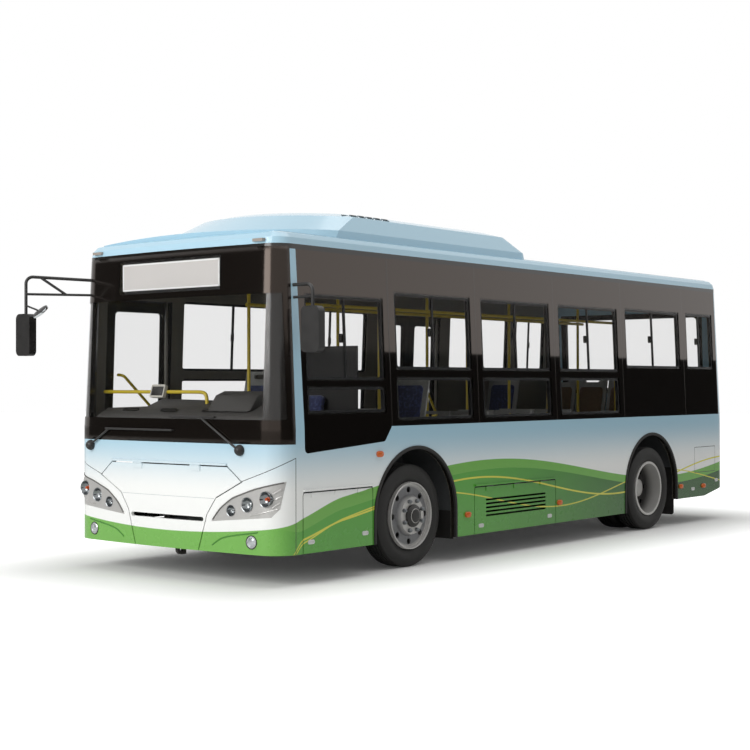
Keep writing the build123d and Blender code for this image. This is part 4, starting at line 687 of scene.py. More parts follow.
for hand, openings in OPENINGS.items():
    glass, tree, shader, place = start_material(f"bordered toughened glass {hand}", 0.03)
    clear = 0.0
    for rear, front, low, high in openings:
        pane = region(tree, place, X=(rear - CLEAR_LAP, front + CLEAR_LAP), Z=(low - CLEAR_LAP, high + CLEAR_LAP))
        clear = add(tree, "Math", {0: clear, 1: pane}, operation="MAXIMUM")
    see = add(tree, "MapRange", {"Value": clear, "To Min": 1.0, "To Max": 0.06})
    tree.links.new(see, shader.inputs["Alpha"])
    tint = add(tree, "Mix", {"Factor": clear, "A": linear("#0F0D0C"), "B": linear("#2B2C2B")}, **COLOURS)
    for pillar in PILLARS_X[:5]:
        joint = region(tree, place, X=(pillar - PANE_JOINT, pillar + PANE_JOINT))
        tint = add(tree, "Mix", {"Factor": joint, "A": tint, "B": linear("#5C544E")}, **COLOURS)
    tree.links.new(tint, shader.inputs["Base Color"])
    shader.inputs["IOR"].default_value = 1.7
    shader.inputs["Specular Tint"].default_value = linear("#FFEADC")
    dress(glass, f"{hand}_windows")

# Window sashes: black anodised aluminium, screwed in each opening behind the glass. The upper
# ones slide, so a bar parts them and a moulded catch locks them. The metal has a soft sheen,
# the catches a duller one.
SASH = 0.02
SASH_DEEP = 0.02
SASH_CORNER = 0.04
SLIDING_TOP_Z = 2.3
CATCH = (0.03, 0.075)
CATCH_SET = 0.022
GLASS_BACK = 0.01
anodised = finish_of("black anodised aluminium", "#191A1B", "#232425", 0.35, 60, 1.5, 0.05, metallic=0.6)
black_abs = finish_of("moulded black ABS", "#161514", "#1F1D1C", 0.42, 80, 1.6, 0.2)


def side_y(z, side):
    """The wall's Y at a height, behind the glass."""
    return side * (HALF_WIDTH - max(0, z - BELT_Z) * LEAN - GLASS_BACK)


def border(name, outline, width, push):
    """A frame along an outline: a border of a width, pushed to a depth."""
    piece = flat(name, outline)
    bpy.ops.mesh.inset(thickness=width)
    bpy.ops.mesh.delete(type="FACE")
    bpy.ops.mesh.select_all(action="SELECT")
    bpy.ops.mesh.extrude_region_move(TRANSFORM_OT_translate={"value": push})
    bpy.ops.mesh.select_all(action="SELECT")
    bpy.ops.mesh.normals_make_consistent(inside=False)
    bpy.ops.object.mode_set(mode="OBJECT")
    return piece


for side, hand in ((1, "left"), (-1, "right")):
    sashes, catches = [], []
    for rear, front, low, high in OPENINGS[hand]:
        push = (0, -side * SASH_DEEP, 0)
        middle = Vector(((rear + front) / 2, side_y((low + high) / 2, side), (low + high) / 2))
        up = Vector((0, -side * LEAN, 1))
        outline = placed(rounded(front - rear, high - low, SASH_CORNER), middle, (1, 0, 0), up)
        sashes.append(border("sash", outline, SASH, push))
        if high > SLIDING_TOP_Z:
            bar = placed(rounded(SASH, high - low - SASH, 0.003, 1), middle, (1, 0, 0), up)
            sashes.append(slab("bar", bar, push, 0.003))
            at = middle + Vector((CATCH_SET, -side * SASH_DEEP, 0))
            catch = placed(rounded(*CATCH, 0.008), at, (1, 0, 0), up)
            catches.append(slab("catch", catch, (0, -side * CATCH_SET, 0), 0.005))
    settle(joined(f"sashes_{hand}", sashes), anodised, "body")
    settle(joined(f"sash_catches_{hand}", catches), black_abs, "body")

# Door and rear glass: the same tinted glass, toughened and set in rubber. It is clear all
# over, with a faint grey cast.
door_glass, _, shader, _ = start_material("grey-tinted toughened glass", 0.03)
shader.inputs["Base Color"].default_value = linear("#2B2C2B")
shader.inputs["Alpha"].default_value = 0.07
shader.inputs["IOR"].default_value = 1.5
dress(door_glass, "rear_window", "door_front_glass", "door_mid_front_glass", "door_mid_rear_glass")

# Door rubbers and grab rails: a black rubber frame round each leaf's glass, a seal along its
# top, and a tube that slopes across its inside, bent at both ends and screwed on. The tube's
# powder coat is a bright, slightly uneven yellow.
DOOR_RUBBER = 0.024
DOOR_SEAL = (0.045, 0.0125)
DOOR_TOP_Z = 2.386
GRAB_Z = (1.25, 1.71)
GRAB_OUT = 0.05
GRAB_IN = 0.02
GRAB_END = 0.03
GRAB_R = 0.014
rail_yellow = finish_of("powder-coated yellow tube", "#D2B92B", "#BBA52A", 0.4, 60, 1.5, 0.15)


def tube(name, points, radius, order=3):
    """A round tube on a smooth line drawn by its points, or on straight runs at order 2."""
    bpy.ops.object.select_all(action="DESELECT")
    bpy.ops.curve.primitive_nurbs_path_add()
    line = bpy.context.object
    line.name = name
    line.data.splines.clear()
    run = line.data.splines.new("NURBS")
    run.points.add(len(points) - 1)
    for knot, point in zip(run.points, points):
        knot.co = (*point, 1)
    run.order_u = order
    run.use_endpoint_u = True
    run.resolution_u = 8
    line.data.bevel_depth = radius
    line.data.bevel_resolution = 3
    line.data.use_fill_caps = True
    bpy.ops.object.convert(target="MESH")
    piece = bpy.context.object
    bpy.ops.object.mode_set(mode="EDIT")
    bpy.ops.mesh.select_all(action="SELECT")
    bpy.ops.mesh.remove_doubles(threshold=MERGE)
    bpy.ops.mesh.normals_make_consistent(inside=False)
    bpy.ops.object.mode_set(mode="OBJECT")
    return piece


for leaf in ("door_front", "door_mid_front", "door_mid_rear"):
    low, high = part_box(f"{leaf}_glass")
    middle = Vector(((low.x + high.x) / 2, -HALF_WIDTH + 0.004, (low.z + BELT_Z) / 2))
    wide = high.x - low.x + DOOR_RUBBER
    lower = placed(rounded(wide, BELT_Z - low.z + DOOR_RUBBER, 0.05), middle, (1, 0, 0), (0, 0, 1))
    half = len(lower) // 2
    tall = high.z - BELT_Z + DOOR_RUBBER / 2
    for corner in lower[:half]:
        corner.z += tall
        corner.y += LEAN * (corner.z - BELT_Z)
    settle(border(f"{leaf}_rubber", lower, DOOR_RUBBER, (0, 0.006, 0)), rubber, leaf)
    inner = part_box(leaf)[1].y
    rear, front = Vector((low.x + GRAB_END, inner, GRAB_Z[0])), Vector((high.x - GRAB_END, inner, GRAB_Z[1]))
    grab = [rear.lerp(front, share) + Vector((0, out, 0)) for share, out in
            ((0, -GRAB_IN), (0, GRAB_OUT), (0.1, GRAB_OUT), (0.9, GRAB_OUT), (1, GRAB_OUT), (1, -GRAB_IN))]
    settle(tube(f"{leaf}_grab_rail", grab, GRAB_R), rail_yellow, leaf)
    low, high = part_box(leaf)
    seal_at = ((low.x + high.x) / 2, inner - 0.003 - DOOR_SEAL[0] / 2, DOOR_TOP_Z)
    seal = placed(rounded(high.x - low.x - 0.004, DOOR_SEAL[0], 0.004, 1), seal_at, (1, 0, 0), (0, 1, 0))
    settle(slab(f"{leaf}_seal", seal, (0, 0, DOOR_SEAL[1]), 0.002), rubber, leaf)

# Windscreen: laminated clear glass bonded to its frame, with a black ceramic border fired on
# round its edge and a window in it for the sign. It has a broad, soft sheen.
SIGN_Y = (-0.64, 0.548)
SIGN_Z = (2.43, 2.662)
SIGN_CLEAR = 0.03
VIEW_Z = (1.335, 2.35)
screen_glass, tree, shader, place = start_material("laminated windscreen glass", 0.12)
view_area = region(tree, place, X=(A_SEAM_X + 0.07, FAR), Z=VIEW_Z)
sign_area = region(tree, place, Y=(SIGN_Y[0] - SIGN_CLEAR, SIGN_Y[1] + SIGN_CLEAR),
                   Z=(SIGN_Z[0] - SIGN_CLEAR, SIGN_Z[1] + SIGN_CLEAR))
clear = add(tree, "Math", {0: view_area, 1: sign_area}, operation="MAXIMUM")
tree.links.new(add(tree, "MapRange", {"Value": clear, "To Min": 1.0, "To Max": 0.05}), shader.inputs["Alpha"])
tint = add(tree, "Mix", {"Factor": clear, "A": linear("#14110F"), "B": linear("#3A3B3A")}, **COLOURS)
tree.links.new(tint, shader.inputs["Base Color"])
shader.inputs["IOR"].default_value = 1.5
shader.inputs["Specular Tint"].default_value = linear("#FFEADC")
# The glass is bent at its ends, so its sheen runs smoothly round the corner.
tree.links.new(add(tree, "Bevel", {"Radius": 0.05}, samples=8), shader.inputs["Normal"])
dress(screen_glass, "windscreen")

# Destination sign: a blank light-grey acrylic panel in a white enamelled frame, clipped to the
# front of a black box behind the glass. The panel is even and milky, the frame whiter.
SIGN_FRAME = 0.014
sign_grey = finish_of("opal grey acrylic", "#DBD7D4", "#D3D0CD", 0.3, 300, 3, 0.05)
sign_white = finish_of("white frame enamel", "#FBFBFA", "#F3F3F2", 0.35, 60, 2, 0.05)
dress(black_abs, "sign_box")
sign_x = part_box("sign_box")[1].x + 0.004
sign_at = (sign_x, sum(SIGN_Y) / 2, sum(SIGN_Z) / 2)
sign_size = (SIGN_Y[1] - SIGN_Y[0], SIGN_Z[1] - SIGN_Z[0])
panel = placed(rounded(*sign_size, 0.003, 1), sign_at, (0, 1, 0), (0, 0, 1))
settle(slab("sign_panel", panel, (-0.008, 0, 0), 0.001), sign_grey, "body")
sign_frame_at = (sign_x + 0.002, *sign_at[1:])
surround = placed(rounded(*sign_size, 0.004, 1), sign_frame_at, (0, 1, 0), (0, 0, 1))
settle(border("sign_frame", surround, SIGN_FRAME, (-0.014, 0, 0)), sign_white, "body")

# Headlamps: a silvered moulding with three bowls, clipped behind the front panel. Each bowl
# holds a reflector in a turned rim and a bulb, the outer bulb amber; ribs step down the outer
# end. The moulding is pale and satin, the bulbs glossy; a dull grey line along its top edge is painted shade.
LAMP_UNITS = (
    # half width, height, radius, bulb colour
    (0.740, 0.600, 0.042, "clear"),
    (0.909, 0.654, 0.055, "clear"),
    (1.095, 0.705, 0.058, "amber"),
)
lamp_silver = finish_of("silvered lamp moulding", "#C2C0BD", "#B3B2B0", 0.34, 40, 2, 0.1, metallic=0.35)
bulb_clear = finish_of("clear bulb glass", "#D9DCDD", "#C3C7C9", 0.06, 20, 3, 0.1, metallic=0.5)
bulb_amber = finish_of("amber bulb glass", "#D4541A", "#B84516", 0.1, 20, 3, 0.1)
# The reflectors are aluminised: a mirror that goes dark where it looks at the road.
reflector_metal = finish_of("aluminised reflector", "#8F9294", "#7C8082", 0.12, 25, 3, 0.1, metallic=1.0)
# A dull grey tube along the moulding's top edge: painted shade for the shadow there.
top_edge_shade_grey = finish_of("grey painted shade line", "#6E6C69", "#5F5D5B", 0.7, 40, 2, 0.1)
dress(lamp_silver, "headlamps")
# Sections of reflector and bulb: distance out of the bowl, share of the bowl's radius.
DISH = ((0.004, 0.0), (0.005, 0.32), (0.012, 0.6), (0.026, 0.84), (0.043, 0.97), (0.048, 1.02), (0.05, 1.1),
        (0.046, 1.13), (0.042, 0.985), (0.0005, 0.985), (0.0005, 0.0))
CAPSULE = ((0.002, 0.0), (0.002, 0.3), (0.012, 0.3), (0.014, 0.22), (0.03, 0.24), (0.038, 0.17), (0.041, 0.0))
RIBS = (
    # radius, then half width and height along the rib
    (0.01, ((1.15, 0.745), (1.175, 0.768), (1.2, 0.785))),
    (0.01, ((1.15, 0.692), (1.175, 0.713), (1.2, 0.727))),
    (0.01, ((1.145, 0.637), (1.17, 0.66), (1.192, 0.676))),
    (0.008, ((0.95, 0.571), (1.02, 0.584), (1.1, 0.602), (1.178, 0.627))),
)
# The line of painted shade along the moulding's top edge, as half width and height.
LAMP_TOP = ((0.545, 0.52), (0.61, 0.6), (0.68, 0.652), (0.76, 0.704), (0.87, 0.742), (0.98, 0.779),
            (1.04, 0.793), (1.1, 0.808), (1.15, 0.821), (1.185, 0.83), (1.212, 0.837))
SHADE_LINE_R = 0.006
SHADE_LINE_OUT = Vector((0.002, 0, 0))


def ahead(node, y, z):
    """Where a CAD node is first met from ahead of the bus, and which way it looks there."""
    return meet(node, (FAR, y, z), (-1, 0, 0))


for side, hand in ((1, "left"), (-1, "right")):
    reflectors, bulbs = [], {"clear": [], "amber": []}
    for half, height, radius, bulb in LAMP_UNITS:
        back, _ = ahead("headlamps", side * half, height)
        dish, capsule = ([(along, share * radius) for along, share in section] for section in (DISH, CAPSULE))
        reflectors.append(turned("dish", dish, back, (1, 0, 0), 40))
        bulbs[bulb].append(turned("bulb", capsule, back, (1, 0, 0), 20))
    settle(joined(f"lamp_reflectors_{hand}", reflectors), reflector_metal, "body")
    settle(joined(f"lamp_bulbs_{hand}", bulbs["clear"]), bulb_clear, "body")
    settle(joined(f"indicator_bulb_{hand}", bulbs["amber"]), bulb_amber, "body")
    ribs = []
    for radius, line in RIBS:
        on_lamp = [ahead("headlamps", side * half, height)[0] for half, height in line]
        ribs.append(tube("rib", on_lamp, radius))
    settle(joined(f"lamp_ribs_{hand}", ribs), lamp_silver, "body")
    edge = [ahead("headlamps", side * half, height)[0] + SHADE_LINE_OUT for half, height in LAMP_TOP]
    settle(tube(f"lamp_top_shade_line_{hand}", edge, SHADE_LINE_R), top_edge_shade_grey, "body")

# Fog lamps: a moulded glass lens in a chromed rim, sunk in the bumper under a pressed brow; a black rubber ring
# round the rim is painted shade for the shadow in the recess. The lens glitters with its flutes, and the brow's
# darker green is painted shade in its crease.
FOG_Y = 0.956
FOG_Z = 0.356
RIM = [(-0.004, 0.032), (0.003, 0.034), (0.008, 0.038), (0.008, 0.044), (0.004, 0.049), (-0.004, 0.049)]
LENS = [(-0.003, 0.0), (-0.003, 0.034), (0.003, 0.034), (0.006, 0.025), (0.008, 0.012), (0.009, 0.0)]
# A black rubber ring round the rim: painted shade for the shadow of the lens's recess.
SHADE_RING = [(-0.004, 0.047), (0.004, 0.047), (0.004, 0.056), (-0.004, 0.056)]
BROW = ((0.54, 0.312), (0.6, 0.352), (0.66, 0.38), (0.78, 0.402), (0.9, 0.42), (1.02, 0.437))
BROW_R = 0.006
# The brow's darker green: painted shade in its crease.
brow_shade_green = finish_of("deep green painted shade", "#47892F", "#3E7C2A", 0.35, 60, 3, 0.1)
chrome = finish_of("bright chrome plate", "#C9CBCD", "#B4B7BA", 0.16, 30, 2, 0.05, metallic=1.0)
lens_glass = finish_of("fluted lens glass", "#C7CBCD", "#A8ADB0", 0.08, 10, 6, 1.2, metallic=0.4)
for side, hand in ((1, "left"), (-1, "right")):
    at, facing = ahead("headlamps", side * FOG_Y, FOG_Z)
    settle(turned(f"fog_rim_{hand}", RIM, at, facing, 40), chrome, "body")
    settle(turned(f"fog_lens_{hand}", LENS, at, facing, 40), lens_glass, "body")
    settle(turned(f"fog_shade_ring_{hand}", SHADE_RING, at, facing, 40), rubber, "body")
    brow = [ahead("front_fascia", side * half, height)[0] for half, height in BROW]
    settle(tube(f"fog_brow_{hand}", brow, BROW_R), brow_shade_green, "body")

# Tail lamps and markers: acrylic mouldings, fluted inside so that they glitter. The tail
# clusters are amber over red, with a clear reversing lens at the foot.
tail_low, tail_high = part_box("tail_lamps")
tail_lens, tree, shader, place = start_material("fluted tail lens acrylic", 0.12)
tail_colour = linear("#A5120F")
AMBER_DEEP, CLEAR_TALL, FLUTE = 0.14, 0.1, 0.02
for low, high, colour in ((tail_high.z - AMBER_DEEP, FAR, "#D2691C"), (0, tail_low.z + CLEAR_TALL, "#D8D6D2")):
    part = region(tree, place, Z=(low, high))
    tail_colour = add(tree, "Mix", {"Factor": part, "A": tail_colour, "B": linear(colour)}, **COLOURS)
tree.links.new(tail_colour, shader.inputs["Base Color"])
# A wave texture repeats every pi / 10 m at a scale of 1.
WAVE = math.pi / 10
flutes = add(tree, "TexWave", {"Vector": place, "Scale": WAVE / FLUTE}, out="Fac", bands_direction="Z")
bump = add(tree, "Bump", {"Height": flutes, "Strength": 0.5, "Distance": 0.002})
tree.links.new(bump, shader.inputs["Normal"])
dress(tail_lens, "tail_lamps")
# The markers are amber along the sides and smoky clear at the front of the roof.
marker_lens, tree, shader, place = start_material("marker lens acrylic", 0.14)
on_roof = region(tree, place, Z=(BAND_TOP_Z - 0.054, FAR))
marker_colour = add(tree, "Mix", {"Factor": on_roof, "A": linear("#D4631F"), "B": linear("#A39A92")}, **COLOURS)
tree.links.new(marker_colour, shader.inputs["Base Color"])
dress(marker_lens, "marker_lamps")
SIDE_MARKER = (0.086, 0.052)
SIDE_MARKERS = (
    # X, Z
    (FRONT_AXLE_X + 0.525, 1.023),
    (FRONT_AXLE_X - 0.768, 0.415),
    (FRONT_AXLE_X - 2.36, 0.426),
    (REAR_AXLE_X - 0.68, 0.443),
    (REAR_AXLE_X - 1.245, 0.42),
)
SIDE_MARKER_CORNER, SIDE_MARKER_OUT, SIDE_MARKER_ROUND = 0.0255, 0.018, 0.007
ovals = []
for side in (1, -1):
    outline = placed(rounded(*SIDE_MARKER, SIDE_MARKER_CORNER), (0, 0, 0), (1, 0, 0), (0, 0, 1))
    oval = slab("oval", outline, (0, side * SIDE_MARKER_OUT, 0), SIDE_MARKER_ROUND)
    ovals += copies(oval, [Matrix.Translation((marker_x, side * (HALF_WIDTH + 0.0005), marker_z))
                           for marker_x, marker_z in SIDE_MARKERS])
settle(joined("side_marker_lenses", ovals), marker_lens, "body")

# Mirrors: moulded black heads clamped on bent steel tubes, with silvered glass behind. The
# right one has a brace across its tubes and a small round mirror on a stalk. The glass is a
# clean mirror.
dress(black_abs, "mirrors")
HEAD = (0.16, 0.335)
HEAD_Z = 2.06
HEAD_Y = 1.405
mirror_glass = finish_of("silvered mirror glass", "#DADEE0", "#D0D5D8", 0.04, 200, 5, 0.01, metallic=1.0)
for side, hand in ((1, "left"), (-1, "right")):
    back, _ = meet("mirrors", (-FAR, side * HEAD_Y, HEAD_Z - 0.1), (1, 0, 0))
    outline = placed(rounded(*HEAD, 0.035), (back.x + 0.001, side * HEAD_Y, HEAD_Z), (0, 1, 0), (0, 0, 1))
    settle(slab(f"mirror_glass_{hand}", outline, (-0.005, 0, 0), 0.003), mirror_glass, "body")
arm_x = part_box("mirrors")[1].x - 0.0375
brace = tube("mirror_brace", [(arm_x - 0.106, -1.335, 2.568), (arm_x - 0.292, -1.215, 2.42)], 0.012, 2)
settle(brace, black_abs, "body")
round_at = Vector((arm_x - 0.02, -1.23, 2.258))
stalk = [(arm_x, -HEAD_Y, 2.32), (arm_x, -1.34, 2.3), round_at + Vector((0.006, -0.04, 0.02)), round_at]
settle(tube("round_mirror_stalk", stalk, 0.008), black_abs, "body")
round_axis = Vector((-0.626, 0.217, -0.75))
BACK = [(-0.02, 0.0), (-0.019, 0.04), (-0.014, 0.074), (-0.01, 0.079), (-0.006, 0.078), (-0.006, 0.0)]
GLASS = [(-0.008, 0.0), (-0.008, 0.08), (0.004, 0.082), (0.01, 0.08), (0.014, 0.066), (0.02, 0.035), (0.022, 0.0)]
settle(turned("round_mirror_back", BACK, round_at, round_axis, 32), black_abs, "body")
settle(turned("round_mirror", GLASS, round_at, round_axis, 32), mirror_glass, "body")

# Wipers: pressed steel arms in black enamel, pushed on spindles under domed caps, each with a
# rubber lip along its blade.
dress(black_abs, "wipers")
WIPER_LIP_R = 0.007
LIP_STEPS = 8
CAP = [(-0.012, 0.0), (-0.012, 0.04), (0.004, 0.046), (0.022, 0.044), (0.04, 0.032), (0.05, 0.016), (0.053, 0.0)]
WIPERS = (
    # spindle Y and Z, blade's ends in Y, blade's Z
    (0.840, 1.09, 0.06, 0.58, 1.353),
    (-1.000, 1.089, -0.77, 0.10, 1.240),
)
for number, (foot_y, foot_z, low_y, high_y, blade_z) in enumerate(WIPERS):
    foot, _ = ahead("front_fascia", foot_y + 0.035, foot_z)
    cap = turned(f"wiper_cap_{number + 1}", CAP, (foot.x, foot_y, foot_z), (1, 0, 0), 32)
    settle(cap, black_abs, "body")
    steps = [low_y + (high_y - low_y) * step / LIP_STEPS for step in range(LIP_STEPS + 1)]
    lip = [ahead("windscreen", along, blade_z)[0] + Vector((WIPER_LIP_R, 0, 0)) for along in steps]
    settle(tube(f"wiper_lip_{number + 1}", lip, WIPER_LIP_R), rubber, "body")

# Dashboard: a grained grey moulding screwed to a steel frame. Its cowl follows the windscreen,
# with three slotted vents along it and a hood over the driver's dials. The grain kills its shine.
dash_grey = finish_of("grained grey polypropylene", "#343230", "#3E3C39", 0.6, 120, 1.8, 0.4)
dress(dash_grey, "dashboard")
COWL_Z = (1.188, 1.352)
COWL_SLOPE = 0.52
COWL_Y = (-1.0, 1.085)
COWL_REAR = FRONT_AXLE_X + 1.478
COWL_RIGHT_REAR = FRONT_AXLE_X + 1.6
COWL_STEP_Y = -0.42
SCREEN_CLEAR = 0.045
COWL_STEPS = 12
COWL_ROUND = 0.025
VENT = (0.2, 0.04)
VENT_BACK = 0.1
VENT_SET, VENT_OUT, VENT_BORDER, VENT_SINK = 0.002, 0.008, 0.006, 0.005


def cowl_front(along_y):
    """The X of the cowl's front edge, just behind the windscreen."""
    return ahead("windscreen", along_y, COWL_Z[1])[0].x - SCREEN_CLEAR


def cowl_top(along_x, along_y):
    """The height of the cowl's top, which climbs toward the seats."""
    return COWL_Z[1] + (cowl_front(along_y) - along_x) * COWL_SLOPE


front_edge = []
for step in range(COWL_STEPS + 1):
    edge_y = COWL_Y[0] + (COWL_Y[1] - COWL_Y[0]) * step / COWL_STEPS
    front_edge.append(Vector((cowl_front(edge_y), edge_y, COWL_Z[0])))
COWL_BACK = ((COWL_REAR, COWL_Y[1]), (COWL_REAR, COWL_STEP_Y),
             (COWL_RIGHT_REAR, COWL_STEP_Y - 0.06), (COWL_RIGHT_REAR, COWL_Y[0]))
rear_edge = [Vector((edge_x, edge_y, COWL_Z[0])) for edge_x, edge_y in COWL_BACK]
cowl = slab("dash_cowl", front_edge + rear_edge, (0, 0, COWL_Z[1] - COWL_Z[0]), COWL_ROUND)
for corner in cowl.data.vertices:
    if corner.co.z > COWL_Z[0] + 0.03:
        corner.co.z += cowl_top(corner.co.x, corner.co.y) - COWL_Z[1]
settle(cowl, dash_grey, "body")
VENTS_Y = (-0.62, -0.12, 0.38)
climb = Vector((-1, 0, COWL_SLOPE)).normalized()
vent = placed(rounded(*VENT, 0.018), (0, 0, 0), (0, 1, 0), climb)
vent = slab("vent", vent, Vector((0, 1, 0)).cross(climb) * VENT_OUT, 0, VENT_BORDER, VENT_SINK)
vent_places = []
for vent_y in VENTS_Y:
    vent_x = cowl_front(vent_y) - VENT_BACK
    vent_places.append(Matrix.Translation((vent_x, vent_y, cowl_top(vent_x, vent_y) - VENT_SET)))
settle(joined("dash_vents", copies(vent, vent_places)), black_abs, "body")
# The hood's section behind the cowl's rear edge, and its ends in Y.
HOOD_Z = 1.4
HOOD_Y = (0.36, 0.84)
HOOD_LINE = ((0.0, 0.0), (-0.03, 0.12), (0.02, 0.165), (0.12, 0.13), (0.22, 0.0))
hood = [Vector((COWL_REAR + along, HOOD_Y[0], HOOD_Z + up)) for along, up in HOOD_LINE]
settle(slab("dial_hood", hood, (0, HOOD_Y[1] - HOOD_Y[0], 0), 0.03), dash_grey, "body")

# Steering wheel: a moulded rim over a steel hoop, with a padded boss at its middle, splined on
# the column.
dress(black_abs, "steering_wheel", "steering_column")
TILT = math.radians(22)
wheel_axis = Vector((-math.sin(TILT), 0, math.cos(TILT)))
wheel_at = Vector((FRONT_AXLE_X + 1.23, 0.6, 1.23))
BOSS = [(-0.01, 0.0), (-0.01, 0.075), (0.008, 0.088), (0.018, 0.082), (0.026, 0.06), (0.03, 0.0)]
settle(turned("steering_boss", BOSS, wheel_at, wheel_axis, 32), dash_grey, "steering_wheel")

# Partition and poles: a black moulded screen behind the driver, and steel poles with a
# yellow powder coat. One rail crosses behind the windscreen, bolted to the door post.
dress(black_abs, "driver_partition")
dress(rail_yellow, "handrails")
RAIL_X = FRONT_AXLE_X + 1.545
RAIL_Z = 1.557
RAIL_R = 0.016
RAIL_LINE = ((-1.11, RAIL_Z), (-0.6, RAIL_Z), (0.02, RAIL_Z), (0.15, RAIL_Z), (0.2, RAIL_Z - 0.03), (0.2, 1.43))
cross_rail = [(RAIL_X, along, up) for along, up in RAIL_LINE]
settle(tube("screen_rail", cross_rail, RAIL_R), rail_yellow, "body")

# Fare reader: a moulded case clamped on the rail, with a dark screen let in. The case is pale
# and fine-grained, the screen near black.
READER = (0.17, 0.115)
READER_FACE = (0.142, 0.08)
reader_at = Vector((RAIL_X + 0.012, -0.37, RAIL_Z))
reader_up = Vector((-0.3, 0, 1)).normalized()
reader_out = Vector((0, 1, 0)).cross(reader_up)
reader_grey = finish_of("moulded light grey ABS", "#C9C6BD", "#BDBAB1", 0.4, 50, 1.6, 0.15)
case = placed(rounded(*READER, 0.015), reader_at, (0, 1, 0), reader_up)
settle(slab("fare_reader", case, reader_out * 0.034, 0, 0.012, 0.006), reader_grey, "body")
face = placed(rounded(*READER_FACE, 0.006), reader_at + reader_out * 0.026, (0, 1, 0), reader_up)
settle(slab("fare_reader_screen", face, reader_out * 0.005, 0.001), black_abs, "body")

# Passenger seats: one-piece shells of grey polypropylene with a hand slot at the top, bolted
# on steel rails and legs. Each shell carries two thin upholstered pads. The plastic is satin.
SEAT_W = 0.43
SEAT_PITCH = 0.45
SEAT_TOP = ((0.42, 0.045), (0.405, 0.066), (0.36, 0.076), (0.22, 0.064), (0.08, 0.062), (0.02, 0.078),
            (-0.012, 0.12), (-0.035, 0.22), (-0.065, 0.36), (-0.098, 0.52), (-0.11, 0.6), (-0.116, 0.638))
SEAT_UNDER = ((-0.142, 0.636), (-0.136, 0.6), (-0.12, 0.52), (-0.088, 0.36), (-0.058, 0.22), (-0.036, 0.115),
              (-0.01, 0.062), (0.03, 0.044), (0.08, 0.04), (0.22, 0.042), (0.36, 0.052), (0.4, 0.04),
              (0.412, 0.02))
HAND_SLOT = (0.2, 0.045)
HAND_SLOT_Z = 0.585
BENCHES = (
    # X from the front axle, inner end's Y, floor, seats across
    (-1.08, 0.3, 0.36, 2),
    (-1.83, 0.3, 0.36, 2),
    (-2.58, 0.3, 0.36, 2),
    (-1.08, -1.18, 0.36, 2),
    (-1.83, -1.18, 0.36, 2),
    (-5.79, -1.115, 0.72, 5),
)
BOX_SEATS = ((-0.21, 0.72), (-0.21, -1.15), (-4.51, 0.72), (-4.51, -1.15))
BENCH_RISE = 0.36
BOX_TOP_Z = 1.11
seat_grey = finish_of("grey polypropylene seat shell", "#8B8C88", "#7C7D7A", 0.45, 70, 2, 0.2)


def woven(name, colour, fleck, thread_mm, fleck_mm):
    """Seat cloth: crossed threads that ripple the surface, with flecks of a second yarn."""
    made, tree, shader, place = start_material(name, 0.9)
    flecks = add(tree, "TexNoise", {"Vector": place, "Scale": 1000 / fleck_mm, "Detail": 3.0})
    spots = add(tree, "MapRange", {"Value": flecks, "From Min": 0.5, "From Max": 0.62})
    shade = add(tree, "Mix", {"Factor": spots, "A": linear(colour), "B": linear(fleck)}, **COLOURS)
    tree.links.new(shade, shader.inputs["Base Color"])
    ripple = 0.0
    for way in "XYZ":
        threads = add(tree, "TexWave", {"Vector": place, "Scale": 1000 * WAVE / thread_mm}, out="Fac",
                      bands_direction=way)
        ripple = add(tree, "Math", {0: ripple, 1: threads}, operation="MAXIMUM")
    bump = add(tree, "Bump", {"Height": ripple, "Strength": 0.4, "Distance": 0.001})
    tree.links.new(bump, shader.inputs["Normal"])
    shader.inputs["Sheen Weight"].default_value = 0.3
    return made


PAD_CORNER = 0.05
VOXEL = 0.008
PRESSURE = 4
MOMENTS = 20
# Threads are about 1 mm apart on the real cloth; 4 mm shows through the windows.
brown_cloth = woven("woven brown seat cloth", "#5B4630", "#6B563C", 4, 16)
blue_cloth = woven("woven blue seat cloth", "#23294A", "#3A4470", 4, 20)


def stuffed(name, width, length, thick, swell):
    """A foam pad lying flat about its middle: a slab whose cover is blown tight as cloth, by swell at most."""
    outline = placed(rounded(width, length, PAD_CORNER), (0, 0, 0), (1, 0, 0), (0, 1, 0))
    pad = slab(name, outline, (0, 0, thick), thick * 0.3)
    foam = pad.modifiers.new("foam", "REMESH")
    foam.mode = "VOXEL"
    foam.voxel_size = VOXEL
    bpy.ops.object.modifier_apply(modifier="foam")
    start = [corner.co.copy() for corner in pad.data.vertices]
    cover = pad.modifiers.new("cover", "CLOTH")
    cover.settings.use_pressure = True
    cover.settings.uniform_pressure_force = PRESSURE
    cover.settings.effector_weights.gravity = 0
    for moment in range(1, MOMENTS + 1):
        bpy.context.scene.frame_set(moment)
    bpy.ops.object.modifier_apply(modifier="cover")
    bpy.context.scene.frame_set(1)
    for corner, rest in zip(pad.data.vertices, start):
        moved = corner.co - rest
        corner.co = rest + moved * min(1, swell / max(moved.length, 1e-6))
    return pad


def thinned(pad, share):
    """A pad with fewer facets, where many copies are needed."""
    fewer = pad.modifiers.new("fewer", "DECIMATE")
    fewer.ratio = share
    bpy.ops.object.select_all(action="DESELECT")
    pad.select_set(True)
    bpy.context.view_layer.objects.active = pad
    bpy.ops.object.modifier_apply(modifier="fewer")
    return pad


